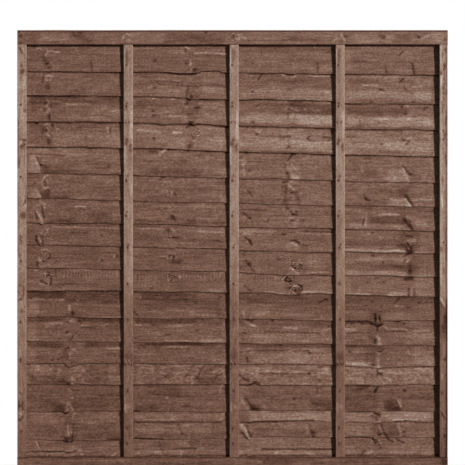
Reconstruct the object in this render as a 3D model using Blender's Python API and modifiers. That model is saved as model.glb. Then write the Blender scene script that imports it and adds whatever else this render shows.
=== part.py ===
"""Overlap fence panel: lapped boards with waney lower edges, held between a front and a rear frame of laths.

Metres, +Z up. +X runs along the panel, left to right as seen from the front, which faces -Y. The origin is at
the middle of the front left stile's outer face, the face that goes against the post.
"""

import math

import bmesh
import bpy

# Frame
PANEL_WIDTH = 1.828
CLEAR_HEIGHT = 1.752  # between the bottom rail and the top rail
RAIL_HEIGHT = 0.055
FRAME_THICKNESS = 0.018  # of the rails and stiles, front to back
LEFT_STILE_WIDTH = 0.039
RIGHT_STILE_WIDTH = 0.0355
BATTEN_WIDTH = 0.040
BATTEN_THICKNESS = 0.013
BATTEN_SHIFTS = (0.004, 0.006, 0.009)  # each batten's place, to the right of an even spacing
CAP_THICKNESS = 0.006
EASED_ARRIS = 0.0015

# Boards, from the top one down
BOARD_THICKNESS = 0.0055
BOARD_LAP = 0.026
BOARD_END_INSET = 0.003
BOARD_STOP_SHORT = 0.010  # of the top and of the foot of the panel, behind the rails
SHOWN_AT_LEFT = (
    0.1125, 0.102, 0.1145, 0.106, 0.110, 0.108, 0.102, 0.0935, 0.102,
    0.0935, 0.1145, 0.102, 0.0925, 0.091, 0.1165, 0.1195, 0.0715,
)
SHOWN_AT_RIGHT = (
    0.1275, 0.123, 0.1145, 0.108, 0.1145, 0.104, 0.0995, 0.0995, 0.0955,
    0.085, 0.104, 0.102, 0.087, 0.083, 0.1105, 0.1145, 0.080,
)

# Waney lower edges: the slow bow of each board, which lifts its left half, and the waves that they all have
EDGE_BOWS = (
    0.001, 0.0055, 0.0055, 0.004, 0.001, 0.001, 0.002, 0.002, 0.004,
    0.002, 0.001, 0.001, 0.001, 0.001, 0.001, 0.001, 0.001,
)
EDGE_WAVE = 0.003
LONG_WAVES = 2.3  # along the length of a board
SHORT_WAVES = 5.7
WANE_HEIGHT = 0.006
BOARD_SEGMENTS = 28

# Pieces that touch keep this much air between them
SEAT_GAP = 0.0003

# Weathered brown stain, as red, green and blue of 255
BOARD_BROWN = (122, 93, 79)
FRAME_BROWN = (134, 107, 92)
CAP_BROWN = (150, 126, 112)
WOOD_ROUGHNESS = 0.85
# How light each board is, against the first value of 1
BOARD_TONES = (1.0, 1.0, 0.99, 1.06, 0.98, 1.0, 1.02, 1.0, 1.02, 0.98, 0.9, 0.96, 0.98, 1.02, 0.9, 1.0, 0.96)

# Where the frames and the boards lie, front to back
FRONT_FRAME_BACK = FRAME_THICKNESS / 2
FRONT_FRAME_FACE = FRONT_FRAME_BACK - FRAME_THICKNESS
FRONT_OF_BOARDS = FRONT_FRAME_BACK + SEAT_GAP
CLEAR_TOP = CLEAR_HEIGHT / 2
CLEAR_FOOT = -CLEAR_HEIGHT / 2


def height_beside_stiles(heights, x):
    """The height at x of a straight line that is given by its heights beside the left and the right stile."""
    span = PANEL_WIDTH - LEFT_STILE_WIDTH - RIGHT_STILE_WIDTH
    return heights[0] + (heights[1] - heights[0]) * (x - LEFT_STILE_WIDTH) / span


class Board:
    """One board. Its lower edge waves about a straight line, and its upper edge is sawn straight.

    Heights in a section are taken from the tip line, the lowest that the waves could reach. There the board's
    front meets the front frame, and at its upper edge its back meets the rear frame.
    """

    def __init__(self, number, low, high, bow):
        self.number = number
        self.low = low
        self.high = high
        self.bow = bow
        self.dip = abs(bow) + EDGE_WAVE

    def tip(self, x):
        return height_beside_stiles(self.low, x) - self.dip

    def height(self, x):
        return height_beside_stiles(self.high, x) - self.tip(x)

    def edge(self, x):
        """Height of the waney edge above the tip line."""
        turn = 2 * math.pi
        along = x / PANEL_WIDTH
        bow = self.bow * math.sin(turn * along)
        long_wave = math.sin(turn * (LONG_WAVES * along + 0.37 * self.number))
        short_wave = math.sin(turn * (SHORT_WAVES * along + 0.61 * self.number))
        return self.dip + bow + EDGE_WAVE * (0.6 * long_wave + 0.4 * short_wave)

    def section(self, x, cavity):
        """Outline of the board cut across at x: face, upper edge, back, then the round of the wane."""
        lean = (cavity - BOARD_THICKNESS) / self.height(x)
        edge = self.edge(x)
        outline = (
            (edge + WANE_HEIGHT, 0),
            (self.height(x), 0),
            (self.height(x), 1),
            (edge, 1),
            (edge, 0.6),
            (edge + 0.35 * WANE_HEIGHT, 0.2),
        )
        return [
            (x, FRONT_OF_BOARDS + lean * height + share * BOARD_THICKNESS, self.tip(x) + height)
            for height, share in outline
        ]


def lay_out_boards():
    """Boards from the top down, each lapping over the one below, scaled to fill the clear height."""
    left_scale = CLEAR_HEIGHT / sum(SHOWN_AT_LEFT)
    right_scale = CLEAR_HEIGHT / sum(SHOWN_AT_RIGHT)
    hidden = RAIL_HEIGHT - BOARD_STOP_SHORT
    above = (CLEAR_TOP, CLEAR_TOP)
    boards = []
    for index, bow in enumerate(EDGE_BOWS):
        low = (above[0] - SHOWN_AT_LEFT[index] * left_scale, above[1] - SHOWN_AT_RIGHT[index] * right_scale)
        cover = BOARD_LAP
        if index == 0:
            cover = hidden
        if index == len(EDGE_BOWS) - 1:
            low = (CLEAR_FOOT - hidden, CLEAR_FOOT - hidden)
        high = (above[0] + cover, above[1] + cover)
        boards.append(Board(index + 1, low, high, bow))
        above = low
    return boards


def cavity_depth(boards):
    """The least depth between the frames at which each board clears the next at both ends of their lap."""
    room = BOARD_THICKNESS + SEAT_GAP
    lean_depth = 0
    for upper, lower in zip(boards, boards[1:]):
        for x in (BOARD_END_INSET, PANEL_WIDTH - BOARD_END_INSET):
            shown = upper.tip(x) - lower.tip(x)
            lapped = lower.height(x) - shown
            at_lower_edge = room * lower.height(x) / shown
            at_upper_edge = room / (1 - lapped / upper.height(x))
            lean_depth = max(lean_depth, at_lower_edge, at_upper_edge)
    return BOARD_THICKNESS + lean_depth


def clear_scene():
    for old in list(bpy.data.objects):
        bpy.data.objects.remove(old, do_unlink=True)


def linear(channel):
    """An 8-bit sRGB channel as linear light."""
    value = channel / 255
    if value <= 0.04045:
        return value / 12.92
    return ((value + 0.055) / 1.055) ** 2.4


def wood(name, brown, tone=1.0):
    material = bpy.data.materials.new(name + "_wood")
    material.use_nodes = True
    shader = material.node_tree.nodes["Principled BSDF"]
    shader.inputs["Base Color"].default_value = [linear(channel * tone) for channel in brown] + [1.0]
    shader.inputs["Roughness"].default_value = WOOD_ROUGHNESS
    shader.inputs["Metallic"].default_value = 0.0
    return material


def add_piece(name, bm, material, collection):
    mesh = bpy.data.meshes.new(name)
    bm.to_mesh(mesh)
    bm.free()
    mesh.materials.append(material)
    piece = bpy.data.objects.new(name, mesh)
    collection.objects.link(piece)
    return piece


def add_lath(name, lower, upper, brown, collection):
    """A sawn lath between two opposite corners, with its arrises eased."""
    bm = bmesh.new()
    bmesh.ops.create_cube(bm, size=1.0)
    size = [high - low for low, high in zip(lower, upper)]
    bmesh.ops.scale(bm, vec=size, verts=bm.verts)
    lath = add_piece(name, bm, wood(name, brown), collection)
    lath.location = [(low + high) / 2 for low, high in zip(lower, upper)]
    bevel = lath.modifiers.new("eased_arrises", "BEVEL")
    bevel.width = EASED_ARRIS
    bevel.segments = 1
    bevel.limit_method = "ANGLE"
    return lath


def add_board(board, cavity, collection):
    """A loft of the board's sections, from its left end to its right end."""
    name = f"board_{board.number:02d}"
    length = PANEL_WIDTH - 2 * BOARD_END_INSET
    bm = bmesh.new()
    rings = []
    for step in range(BOARD_SEGMENTS + 1):
        x = BOARD_END_INSET + length * step / BOARD_SEGMENTS
        rings.append([bm.verts.new(point) for point in board.section(x, cavity)])
    for ring, following in zip(rings, rings[1:]):
        for here in range(len(ring)):
            there = (here + 1) % len(ring)
            bm.faces.new((ring[here], ring[there], following[there], following[here]))
    bm.faces.new(rings[0])
    bm.faces.new(rings[-1])
    bmesh.ops.recalc_face_normals(bm, faces=bm.faces)
    add_piece(name, bm, wood(name, BOARD_BROWN, BOARD_TONES[board.number - 1]), collection)


def add_frame(side, stile_depths, batten_depths, collection):
    """One side's rails, stiles and battens. The uprights butt between the rails."""
    right_stile_x = PANEL_WIDTH - RIGHT_STILE_WIDTH
    rails = {"top": (CLEAR_TOP, CLEAR_TOP + RAIL_HEIGHT), "bottom": (CLEAR_FOOT - RAIL_HEIGHT, CLEAR_FOOT)}
    for place, (foot, top) in rails.items():
        lower = (0, stile_depths[0], foot)
        upper = (PANEL_WIDTH, stile_depths[1], top)
        add_lath(f"{side}_{place}_rail", lower, upper, FRAME_BROWN, collection)

    foot = CLEAR_FOOT + SEAT_GAP
    top = CLEAR_TOP - SEAT_GAP
    stiles = {"left": (0, LEFT_STILE_WIDTH), "right": (right_stile_x, PANEL_WIDTH)}
    for place, (start, end) in stiles.items():
        lower = (start, stile_depths[0], foot)
        upper = (end, stile_depths[1], top)
        add_lath(f"{side}_{place}_stile", lower, upper, FRAME_BROWN, collection)

    first = LEFT_STILE_WIDTH / 2
    last = PANEL_WIDTH - RIGHT_STILE_WIDTH / 2
    spacing = (last - first) / (len(BATTEN_SHIFTS) + 1)
    for index, shift in enumerate(BATTEN_SHIFTS):
        centre = first + spacing * (index + 1) + shift
        lower = (centre - BATTEN_WIDTH / 2, batten_depths[0], foot)
        upper = (centre + BATTEN_WIDTH / 2, batten_depths[1], top)
        add_lath(f"{side}_batten_{index + 1}", lower, upper, FRAME_BROWN, collection)


def add_cap(rear_frame_back, collection):
    """The thin strip that covers both top rails and the slot between them."""
    foot = CLEAR_TOP + RAIL_HEIGHT + SEAT_GAP
    lower = (0, FRONT_FRAME_FACE, foot)
    upper = (PANEL_WIDTH, rear_frame_back, foot + CAP_THICKNESS)
    add_lath("cap_strip", lower, upper, CAP_BROWN, collection)


def main():
    clear_scene()
    collection = bpy.data.collections.new("overlap_fence_panel")
    bpy.context.scene.collection.children.link(collection)

    boards = lay_out_boards()
    cavity = cavity_depth(boards)
    rear_face = FRONT_OF_BOARDS + cavity + SEAT_GAP
    front_batten_depths = (FRONT_FRAME_BACK - BATTEN_THICKNESS, FRONT_FRAME_BACK)
    rear_batten_depths = (rear_face, rear_face + BATTEN_THICKNESS)

    add_frame("front", (FRONT_FRAME_FACE, FRONT_FRAME_BACK), front_batten_depths, collection)
    for board in boards:
        add_board(board, cavity, collection)
    add_frame("rear", (rear_face, rear_face + FRAME_THICKNESS), rear_batten_depths, collection)
    add_cap(rear_face + FRAME_THICKNESS, collection)


main()
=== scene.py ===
"""Looks of the overlap fence panel: weathered brown sawn boards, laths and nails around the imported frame."""

import math

import bpy
import numpy as np
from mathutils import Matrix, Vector


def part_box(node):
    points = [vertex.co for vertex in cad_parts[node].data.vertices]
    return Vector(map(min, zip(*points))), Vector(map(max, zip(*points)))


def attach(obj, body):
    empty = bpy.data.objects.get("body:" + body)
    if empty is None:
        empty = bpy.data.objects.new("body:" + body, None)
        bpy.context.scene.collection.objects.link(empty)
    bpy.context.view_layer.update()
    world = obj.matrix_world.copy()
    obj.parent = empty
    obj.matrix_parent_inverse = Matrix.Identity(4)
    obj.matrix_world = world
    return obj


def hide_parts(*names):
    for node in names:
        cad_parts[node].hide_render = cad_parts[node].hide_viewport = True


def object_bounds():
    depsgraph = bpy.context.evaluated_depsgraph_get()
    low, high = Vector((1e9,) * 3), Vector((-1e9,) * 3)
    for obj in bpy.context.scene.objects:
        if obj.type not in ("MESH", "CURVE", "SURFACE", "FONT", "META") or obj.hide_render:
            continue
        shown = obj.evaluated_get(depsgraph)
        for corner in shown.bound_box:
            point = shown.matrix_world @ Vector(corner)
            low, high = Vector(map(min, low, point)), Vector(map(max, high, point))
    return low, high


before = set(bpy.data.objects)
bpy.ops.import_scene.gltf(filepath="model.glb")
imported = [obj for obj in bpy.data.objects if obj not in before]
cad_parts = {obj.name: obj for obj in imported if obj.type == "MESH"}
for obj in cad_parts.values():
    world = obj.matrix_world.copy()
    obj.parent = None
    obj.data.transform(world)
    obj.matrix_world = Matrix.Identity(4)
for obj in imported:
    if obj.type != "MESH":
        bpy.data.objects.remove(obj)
CAD_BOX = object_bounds()

# The panel, read from the frame
PANEL_LOW, PANEL_HIGH = CAD_BOX
PANEL_WIDTH = PANEL_HIGH[0] - PANEL_LOW[0]
PANEL_FOOT = PANEL_LOW[2]
PANEL_TOP = PANEL_HIGH[2]
FRONT_PLANE = PANEL_LOW[1]
BOARD_COUNT = 17
MM = 0.001
PERCENT = 0.01


def noise(u, v, seed):
    """Smooth value noise from -1 to 1 at points (u, v), with a lattice step of 1."""
    random = np.random.default_rng(seed)
    size = 64
    lattice = random.uniform(-1, 1, (size, size))
    iu = np.floor(u).astype(int)
    iv = np.floor(v).astype(int)
    fu = u - iu
    fv = v - iv
    fu = fu * fu * (3 - 2 * fu)
    fv = fv * fv * (3 - 2 * fv)
    a = lattice[iu % size, iv % size]
    b = lattice[(iu + 1) % size, iv % size]
    c = lattice[iu % size, (iv + 1) % size]
    d = lattice[(iu + 1) % size, (iv + 1) % size]
    return (a * (1 - fu) + b * fu) * (1 - fv) + (c * (1 - fu) + d * fu) * fv


def step(value, low, high):
    """0 below low, 1 above high, smooth between."""
    t = np.clip((value - low) / (high - low), 0, 1)
    return t * t * (3 - 2 * t)


def window(value, low, high, soft):
    """1 between low and high, 0 outside, with soft edges."""
    return step(value, low - soft, low + soft) * (1 - step(value, high - soft, high + soft))


# Marks

# What a mark's tone of 1 adds to the wood's tone, which runs from 0 to 1, by its kind
TONE_UNIT = 0.01
SPOT_UNIT = 0.028
LINE_UNIT = 0.023
BAND_UNIT = 0.0135
PALE_LIMIT = 0.165
DARK_LIMIT = 0.31
MARK_RELIEF = 2.2  # millimetres for a whole step of tone
NO_KNOT = 3.0  # distance from a knot, in its sizes, of points that have none near

# Softness of a mark's ends and sides, in millimetres
BAND_ENDS = 12
BAND_SIDES = (1.2, 5)  # least and most
SAW_SOFT = (8, 4)
ROUGH_SOFT = (10, 3)

# Where a fan's start, end and top begin and end to fade, as distances from each
FAN_START = (-12, 20)
FAN_END = (-1.5, 2.5)
FAN_TOP = (-10, 3)


class Wood:
    """What marks do at points of a surface, a along and c across the grain, both in millimetres.

    In a mark's row, x is a place along the grain and v a place across it, and every other length is in
    millimetres. Scale is the millimetres in one unit of v. A tone above 0 is paler, below 0 darker.
    """

    def __init__(self, a, c, scale, seed):
        self.a = a + 2.2 * noise(a * 0.08, c * 0.08, seed + 1)
        self.c = c + 1.0 * noise(a * 0.11 + 7, c * 0.11, seed + 2)
        self.scale = scale
        self.seed = seed
        self.tone = np.zeros_like(a)
        self.detail = np.zeros_like(a)
        self.relief = np.zeros_like(a)
        self.knot = np.full_like(a, NO_KNOT)
        self.curl = np.zeros_like(a)
        self.shift = np.zeros_like(a)

    def add(self, marks):
        """Adds a table of marks: rows of numbers, kind by kind."""
        adders = {
            "bands": self.add_band,
            "fans": self.add_fan,
            "saws": self.add_saw,
            "roughs": self.add_rough,
            "lines": self.add_line,
            "spots": self.add_spot,
            "knots": self.add_knot,
        }
        for kind, rows in marks.items():
            for row in rows:
                adders[kind](*row)

    def across(self, c, v0, v1, soft):
        """1 between two heights."""
        return window(c, v0 * self.scale, v1 * self.scale, soft)

    def local(self, tone, shape):
        """A mark that is felt as well as seen: pale marks stand up a little, dark ones sink."""
        self.detail += tone * shape
        self.relief += MARK_RELIEF * tone * shape

    def add_band(self, x0, x1, v0, v1, tone):
        """An even patch with wavy sides."""
        soft = np.clip(0.3 * (v1 - v0) * self.scale, *BAND_SIDES)
        wavy = self.c + 1.5 * noise(self.a * 0.035, self.c * 0, self.seed + 3)
        self.tone += BAND_UNIT * tone * window(self.a, x0, x1, BAND_ENDS) * self.across(wavy, v0, v1, soft)

    def add_fan(self, x0, x1, x2, v1, tone):
        """A patch from x0 on, whose sharp end runs from x1 at its top v1 to x2 at the lower edge."""
        up = np.clip(self.c / (v1 * self.scale), 0, 1)
        side = x2 + (x1 - x2) * up
        started = step(self.a, x0 + FAN_START[0], x0 + FAN_START[1])
        ended = step(self.a, side + FAN_END[0], side + FAN_END[1])
        above = step(self.c, (v1 + FAN_TOP[0]) * self.scale, (v1 + FAN_TOP[1]) * self.scale)
        self.tone += TONE_UNIT * tone * started * (1 - ended) * (1 - above)

    def add_saw(self, x0, x1, v0, v1, pitch, tone):
        """The saw's stripes across the grain."""
        bent = self.a + 4.5 * noise(self.a * 0.05, self.c * 0.03, self.seed + 5)
        stripes = np.sin(2 * np.pi * bent / pitch)
        stripes = stripes * (0.8 + 0.3 * noise(self.a * 0.03 + 3, self.c * 0.05, self.seed + 6))
        place = window(self.a, x0, x1, SAW_SOFT[0]) * self.across(self.c, v0, v1, SAW_SOFT[1])
        self.local(TONE_UNIT * tone, stripes * place)

    def add_rough(self, x0, x1, v0, v1, size, slant, tone):
        """Torn and mottled grain."""
        along = (self.a + slant * self.c) / size
        up = self.c / size
        patches = noise(along, up * 1.4, self.seed + 8) + 0.5 * noise(along * 2.1, up * 3, self.seed + 9)
        place = window(self.a, x0, x1, ROUGH_SOFT[0]) * self.across(self.c, v0, v1, ROUGH_SOFT[1])
        self.local(TONE_UNIT * tone, patches * place)

    def add_line(self, x0, v0, x1, v1, width, tone):
        """A straight scratch, check or streak from one point to another."""
        run = x1 - x0
        rise = (v1 - v0) * self.scale
        da = self.a - x0
        dc = self.c - v0 * self.scale
        t = np.clip((da * run + dc * rise) / (run * run + rise * rise), 0, 1)
        near = np.hypot(da - t * run, dc - t * rise) / (1 + 0.5 * width)
        patchy = 1 + 0.35 * noise(self.a * 0.16, self.c * 0.16, self.seed + 4)
        self.local(LINE_UNIT * tone, np.exp(-near * near) * patchy)

    def add_spot(self, x, v, width, height, tone):
        """A soft oval."""
        da = (self.a - x) / width
        dc = (self.c - v * self.scale) / height
        self.local(SPOT_UNIT * tone, np.exp(-da * da - dc * dc))

    def add_knot(self, x, v, size, dark, pale):
        """Rings, a dark heart in a pale rim, and grain that bends round them, all in shares of its size."""
        da = (self.a - x) / size
        dc = (self.c - v * self.scale) / size
        near = np.hypot(da / 1.2, dc)
        self.knot = np.minimum(self.knot, near)
        pull = np.exp(-((da / 2.8) ** 2)) * np.exp(-np.abs(dc) / 4)
        self.shift += size * MM * pull * np.tanh(dc / 1.3)
        rings = (3 + dark + pale) * TONE_UNIT
        self.curl = np.maximum(self.curl, rings * np.exp(-((near / 1.2) ** 4)))
        self.local(-TONE_UNIT * dark, np.exp(-((near / 0.7) ** 2)))
        self.local(0.6 * TONE_UNIT * pale, np.exp(-(((near - 0.8) / 0.4) ** 2)))

    def whole_tone(self):
        """Bands and details together, with the strongest details held back."""
        pale = PALE_LIMIT * np.tanh(np.maximum(self.detail, 0) / PALE_LIMIT)
        dark = DARK_LIMIT * np.tanh(np.minimum(self.detail, 0) / DARK_LIMIT)
        return self.tone + pale + dark


# Meshes

WOOD_SHARP = math.radians(50)
NAIL_SHARP = math.radians(40)


def closed_loft(name, rings, attributes):
    """A closed mesh through rings of points, capped at both ends, with values for each point."""
    count, around = rings.shape[:2]
    mesh = bpy.data.meshes.new(name)
    index = np.arange(count * around).reshape(count, around)
    here = index[:-1]
    there = index[1:]
    quads = np.stack([here, np.roll(here, -1, 1), np.roll(there, -1, 1), there], -1).reshape(-1, 4)
    loops = np.concatenate([quads.ravel(), index[0][::-1], index[-1]])
    starts = np.concatenate([np.arange(len(quads)) * 4, [quads.size, quads.size + around]])
    mesh.vertices.add(count * around)
    mesh.vertices.foreach_set("co", rings.reshape(-1).astype(np.float32))
    mesh.loops.add(len(loops))
    mesh.loops.foreach_set("vertex_index", loops.astype(np.int32))
    mesh.polygons.add(len(starts))
    mesh.polygons.foreach_set("loop_start", starts.astype(np.int32))
    for key, values in attributes.items():
        vector = values.ndim == 3
        layer = mesh.attributes.new(key, "FLOAT_VECTOR" if vector else "FLOAT", "POINT")
        layer.data.foreach_set("vector" if vector else "value", values.reshape(-1).astype(np.float32))
    mesh.update(calc_edges=True)
    mesh.validate()
    mesh.shade_smooth()
    mesh.set_sharp_from_angle(angle=WOOD_SHARP)
    piece = bpy.data.objects.new(name, mesh)
    bpy.context.scene.collection.objects.link(piece)
    return piece


def dress(piece, material, node):
    piece.data.materials.append(material)
    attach(piece, "root")
    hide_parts(node)


# Boards

BOARD_STATIONS = 430
VISIBLE_ROWS = 31
HIDDEN_ROWS = 2
BACK_ROWS = 4
BOARD_INSET = 0.1 * MM
CUT_END = 0.3 * MM  # how near to the end of a cut its back plane is read
EDGE_REACH = 6  # stations
EDGE_WAVES = ((0.8 * MM, 22, 0), (0.6 * MM, 60, 5))  # depth, steps a metre, seed
WANE_HEIGHT = 5 * MM
WANE_CHANGE = 2.5 * MM
WANE_SHARE = np.array([0, 0.1, 0.3, 0.55, 0.8])  # of the wane's height, row by row
WANE_DEPTH = np.array([0.62, 0.34, 0.15, 0.05, 0.01])  # of the thickness, at the same rows
FOOT_RISE = 0.3 * MM
FOOT_DEPTH = 0.85
WARP = 0.35 * MM
RIPPLE = 0.22 * MM
LAP_SHADE_FADE = (0.55, 1.35)  # where the lap's painted shade begins and ends to fade, as shares of its depth
LAP_SHADE_PATCHY = (0.2, 1.8)  # least and most of its strength
BOARD_DRIFT = 0.012  # of the tone, slowly along a board
BACK_MARKS = 0.3  # share of the marks' tone on the back
GRAIN_STEP = (3.1, 0.37)  # metres of the grain pattern from board to board, along and in depth


def read_board(node, xs):
    """Lower edge, upper edge, back plane and thickness of a board's solid, cut across at each x."""
    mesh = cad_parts[node].data
    points = np.empty(len(mesh.vertices) * 3, np.float32)
    mesh.vertices.foreach_get("co", points)
    points = points.reshape(-1, 3).astype(float)
    ends = np.empty(len(mesh.edges) * 2, np.int32)
    mesh.edges.foreach_get("vertices", ends)
    start, end = points[ends.reshape(-1, 2)].transpose(1, 0, 2)
    rows = []
    for x in xs:
        inside = np.clip(x, points[:, 0].min() + BOARD_INSET, points[:, 0].max() - BOARD_INSET)
        crossing = (start[:, 0] - inside) * (end[:, 0] - inside) < 0
        a = start[crossing]
        b = end[crossing]
        share = ((inside - a[:, 0]) / (b[:, 0] - a[:, 0]))[:, None]
        cut = a + (b - a) * share
        low = cut[:, 2].min()
        high = cut[:, 2].max()
        top = cut[cut[:, 2] > high - CUT_END][:, 1]
        foot = cut[cut[:, 2] < low + CUT_END][:, 1]
        rows.append((low, high, foot.max(), top.max(), top.max() - top.min()))
    return np.array(rows).T


def smooth(values, reach):
    """A running mean along a row of values."""
    kernel = np.hanning(2 * reach + 3)[1:-1]
    padded = np.pad(values, reach, mode="edge")
    return np.convolve(padded, kernel / kernel.sum(), mode="valid")


def make_board(number, above_low, material):
    """One board between its lower edge and the lap line above. Returns its lower edge, station by station."""
    node = f"board_{number:02d}"
    seed = 100 * number
    board_low, board_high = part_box(node)
    x = np.linspace(board_low[0] + BOARD_INSET, board_high[0] - BOARD_INSET, BOARD_STATIONS)
    solid_low, high, back_low, back_high, thick = read_board(node, x)
    low = smooth(solid_low, EDGE_REACH)
    for depth, often, extra in EDGE_WAVES:
        low = low + depth * noise(x * often, x * 0, seed + extra)
    for start, end, soft, drop in EDGE_DIPS.get(number, ()):
        low = low - drop * MM * window(x / MM, start, end, soft)
    low = np.maximum(low, board_low[2] if number == BOARD_COUNT else low)
    lean = (back_high - back_low) / (high - solid_low)
    if above_low is None:
        above_low = x * 0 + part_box("front_top_rail")[0][2]
    shown = above_low - low

    # Rows of points from the lower edge up the face, down the back and round to the foot
    wane = WANE_HEIGHT + WANE_CHANGE * noise(x * 7, x * 0, seed + 7)
    face_share = np.linspace(0, 1, VISIBLE_ROWS)
    hidden_share = np.linspace(0, 1, HIDDEN_ROWS + 1)[1:]
    back_share = np.linspace(1, 0, BACK_ROWS)
    covered = high - low - shown
    heights = np.concatenate(
        [
            wane[:, None] * WANE_SHARE,
            wane[:, None] + (shown - wane)[:, None] * face_share,
            shown[:, None] + covered[:, None] * hidden_share,
            (high - low)[:, None] * back_share,
            np.full((len(x), 1), FOOT_RISE),
        ],
        axis=1,
    )
    depths = np.concatenate([WANE_DEPTH, 0 * face_share, 0 * hidden_share, 0 * back_share + 1, [FOOT_DEPTH]])
    is_face = depths < FOOT_DEPTH
    px = np.repeat(x[:, None], heights.shape[1], 1)
    pz = low[:, None] + heights
    wood = Wood(px / MM, heights / MM, shown[:, None] / MM * PERCENT, seed)
    wood.add(BOARD_MARKS[number])
    warp = WARP * (noise(px * 5, pz * 0 + number, seed + 11) - 1)
    ripple = RIPPLE * (noise(px * 30, pz * 140, seed + 12) - 1)
    push = np.minimum(warp + ripple + wood.relief * MM, 0) * is_face
    front_of_back = back_high[:, None] + (pz - high[:, None]) * lean[:, None]
    py = front_of_back - thick[:, None] * (1 - depths[None, :]) - push

    # Painted shade: a dark line close under the lap above, or under the top rail for the top board, deepening
    # the shadow cast there
    below = (above_low[:, None] - pz) / MM
    depth, strength = LAP_SHADE[number]
    patchy = 1 + 0.35 * noise(px * 14, pz * 0, seed + 14) + 0.3 * noise(px * 55, pz * 0, seed + 15)
    fade = 1 - step(below, depth * LAP_SHADE_FADE[0], depth * LAP_SHADE_FADE[1])
    line = fade * strength * np.clip(patchy, *LAP_SHADE_PATCHY)
    tone = BOARD_TONES[number - 1] + side_to_side(px / PANEL_WIDTH)
    tone = tone + wood.whole_tone() * np.where(is_face, 1, BACK_MARKS)
    tone = tone + BOARD_DRIFT * noise(px * 2.3, pz * 8, seed + 13) - line * is_face
    deep = depths[None, :] * thick[:, None]
    grain = np.stack([px + GRAIN_STEP[0] * number, pz + wood.shift, deep + GRAIN_STEP[1] * number], -1)
    attributes = {"wood": grain, "tone": tone, "knot": wood.knot, "curl": wood.curl * is_face}
    piece = closed_loft(f"sawn_{node}", np.stack([px, py, pz], -1), attributes)
    dress(piece, material, node)
    return low


# Laths: rails, stiles, battens and the cap

OUTER_POINTS = 17
INNER_POINTS = 5
SIDE_POINTS = 3
FRONT_STATIONS = 400
REAR_STATIONS = 170
CAP_STATIONS = 300
ARRIS = 1.8 * MM
ARRIS_TURN = 0.3  # share of the arris by which its middle point stays off the corner
END_INSET = 0.2 * MM
LATH_DRIFT = 0.014
LATH_GRAIN_STEP = (5.3, 0.61)

# How far the sides and the faces stand in from the solid, in millimetres
SIDE_INSET = 0.45
SIDE_WAVE = 0.35
SIDE_RIPPLE = 0.2
SIDE_LEAST = 0.05
FACE_INSET = 0.3
FACE_RIPPLE = 0.25
RELIEF_LIMIT = 0.25


def section_outline(width, thickness, counts):
    """Points round a rectangle with eased corners, across and in depth. Counts are for its two faces."""
    corners = ((0, 0), (width, 0), (width, thickness), (0, thickness))
    points = []
    for i, (start, end) in enumerate(zip(corners, corners[1:] + corners[:1])):
        count = SIDE_POINTS if i % 2 else counts[i // 2]
        start = np.array(start, float)
        end = np.array(end, float)
        along = (end - start) / np.linalg.norm(end - start)
        inner = np.linspace(start + along * ARRIS, end - along * ARRIS, count)
        points.extend(inner)
        turn = np.array((-along[1], along[0]))
        points.append(end + (turn - along) * ARRIS * ARRIS_TURN)
    return np.array(points)


def make_lath(node, material, stations, tone_of, marks, seed):
    """One rail, stile or batten. Its marks are on the face that looks away from the boards."""
    low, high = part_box(node)
    size = high - low
    upright = size[2] > size[0]
    length = size[2] if upright else size[0]
    width = size[0] if upright else size[2]
    outward = 1 if node.startswith("rear") else -1
    outline = section_outline(width, size[1], (OUTER_POINTS, INNER_POINTS)[::-outward])
    u = np.linspace(END_INSET, length - END_INSET, stations)[:, None]
    p = outline[None, :, 0] + 0 * u
    q = outline[None, :, 1] + 0 * u
    centre = (p - width / 2) / (width / 2)
    middle = (q - size[1] / 2) / (size[1] / 2)
    shrink = SIDE_INSET + SIDE_WAVE * noise(u * 6 + p * 0, q * 0 + 2, seed)
    shrink = shrink + SIDE_RIPPLE * noise(u * 40 + p * 0, q * 200, seed + 1)
    p = width / 2 + centre * (width / 2 - np.maximum(shrink, SIDE_LEAST) * MM)
    along = (length - u if upright else u) + 0 * p
    wood = Wood(along / MM, p / MM, 1.0, 10 * seed)
    wood.add(marks)
    on_face = step(middle * outward, 0.2, 0.8)
    inset = FACE_INSET + FACE_RIPPLE * (1 + noise(u * 18, p * 90, seed + 2))
    inset = inset - np.minimum(wood.relief, RELIEF_LIMIT) * on_face
    q = size[1] / 2 + middle * (size[1] / 2 - inset * MM)
    tone = tone_of(along / length, p / width) + LATH_DRIFT * noise(u * 3 + p * 0, q * 0, seed + 3)
    tone = tone + wood.whole_tone() * step(middle * outward, -1.0, 0.0)
    if upright:
        rings = np.stack([low[0] + p, low[1] + q, low[2] + u + 0 * p], -1)
    else:
        rings = np.stack([low[0] + u + 0 * p, low[1] + q, low[2] + p], -1)
    step_along, step_deep = LATH_GRAIN_STEP
    grain = np.stack([u + 0 * p + step_along * seed, p + wood.shift, q + step_deep * seed], -1)
    attributes = {"wood": grain, "tone": tone, "knot": wood.knot, "curl": wood.curl}
    if upright:
        rings = rings[:, ::-1]
        attributes = {key: values[:, ::-1] for key, values in attributes.items()}
    piece = closed_loft(f"sawn_{node}", rings, attributes)
    dress(piece, material, node)


# Nails

HEAD_RADIUS = 3.5 * MM
HEAD_CHANGE = 0.08
HEAD_RINGS = ((1.0, -0.9), (1.0, -0.25), (0.82, 0.0), (0.45, 0.12), (0.0, 0.16))  # share of radius, mm out
HEAD_SIDES = 14
HEAD_SINK = 0.25 * MM


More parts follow.
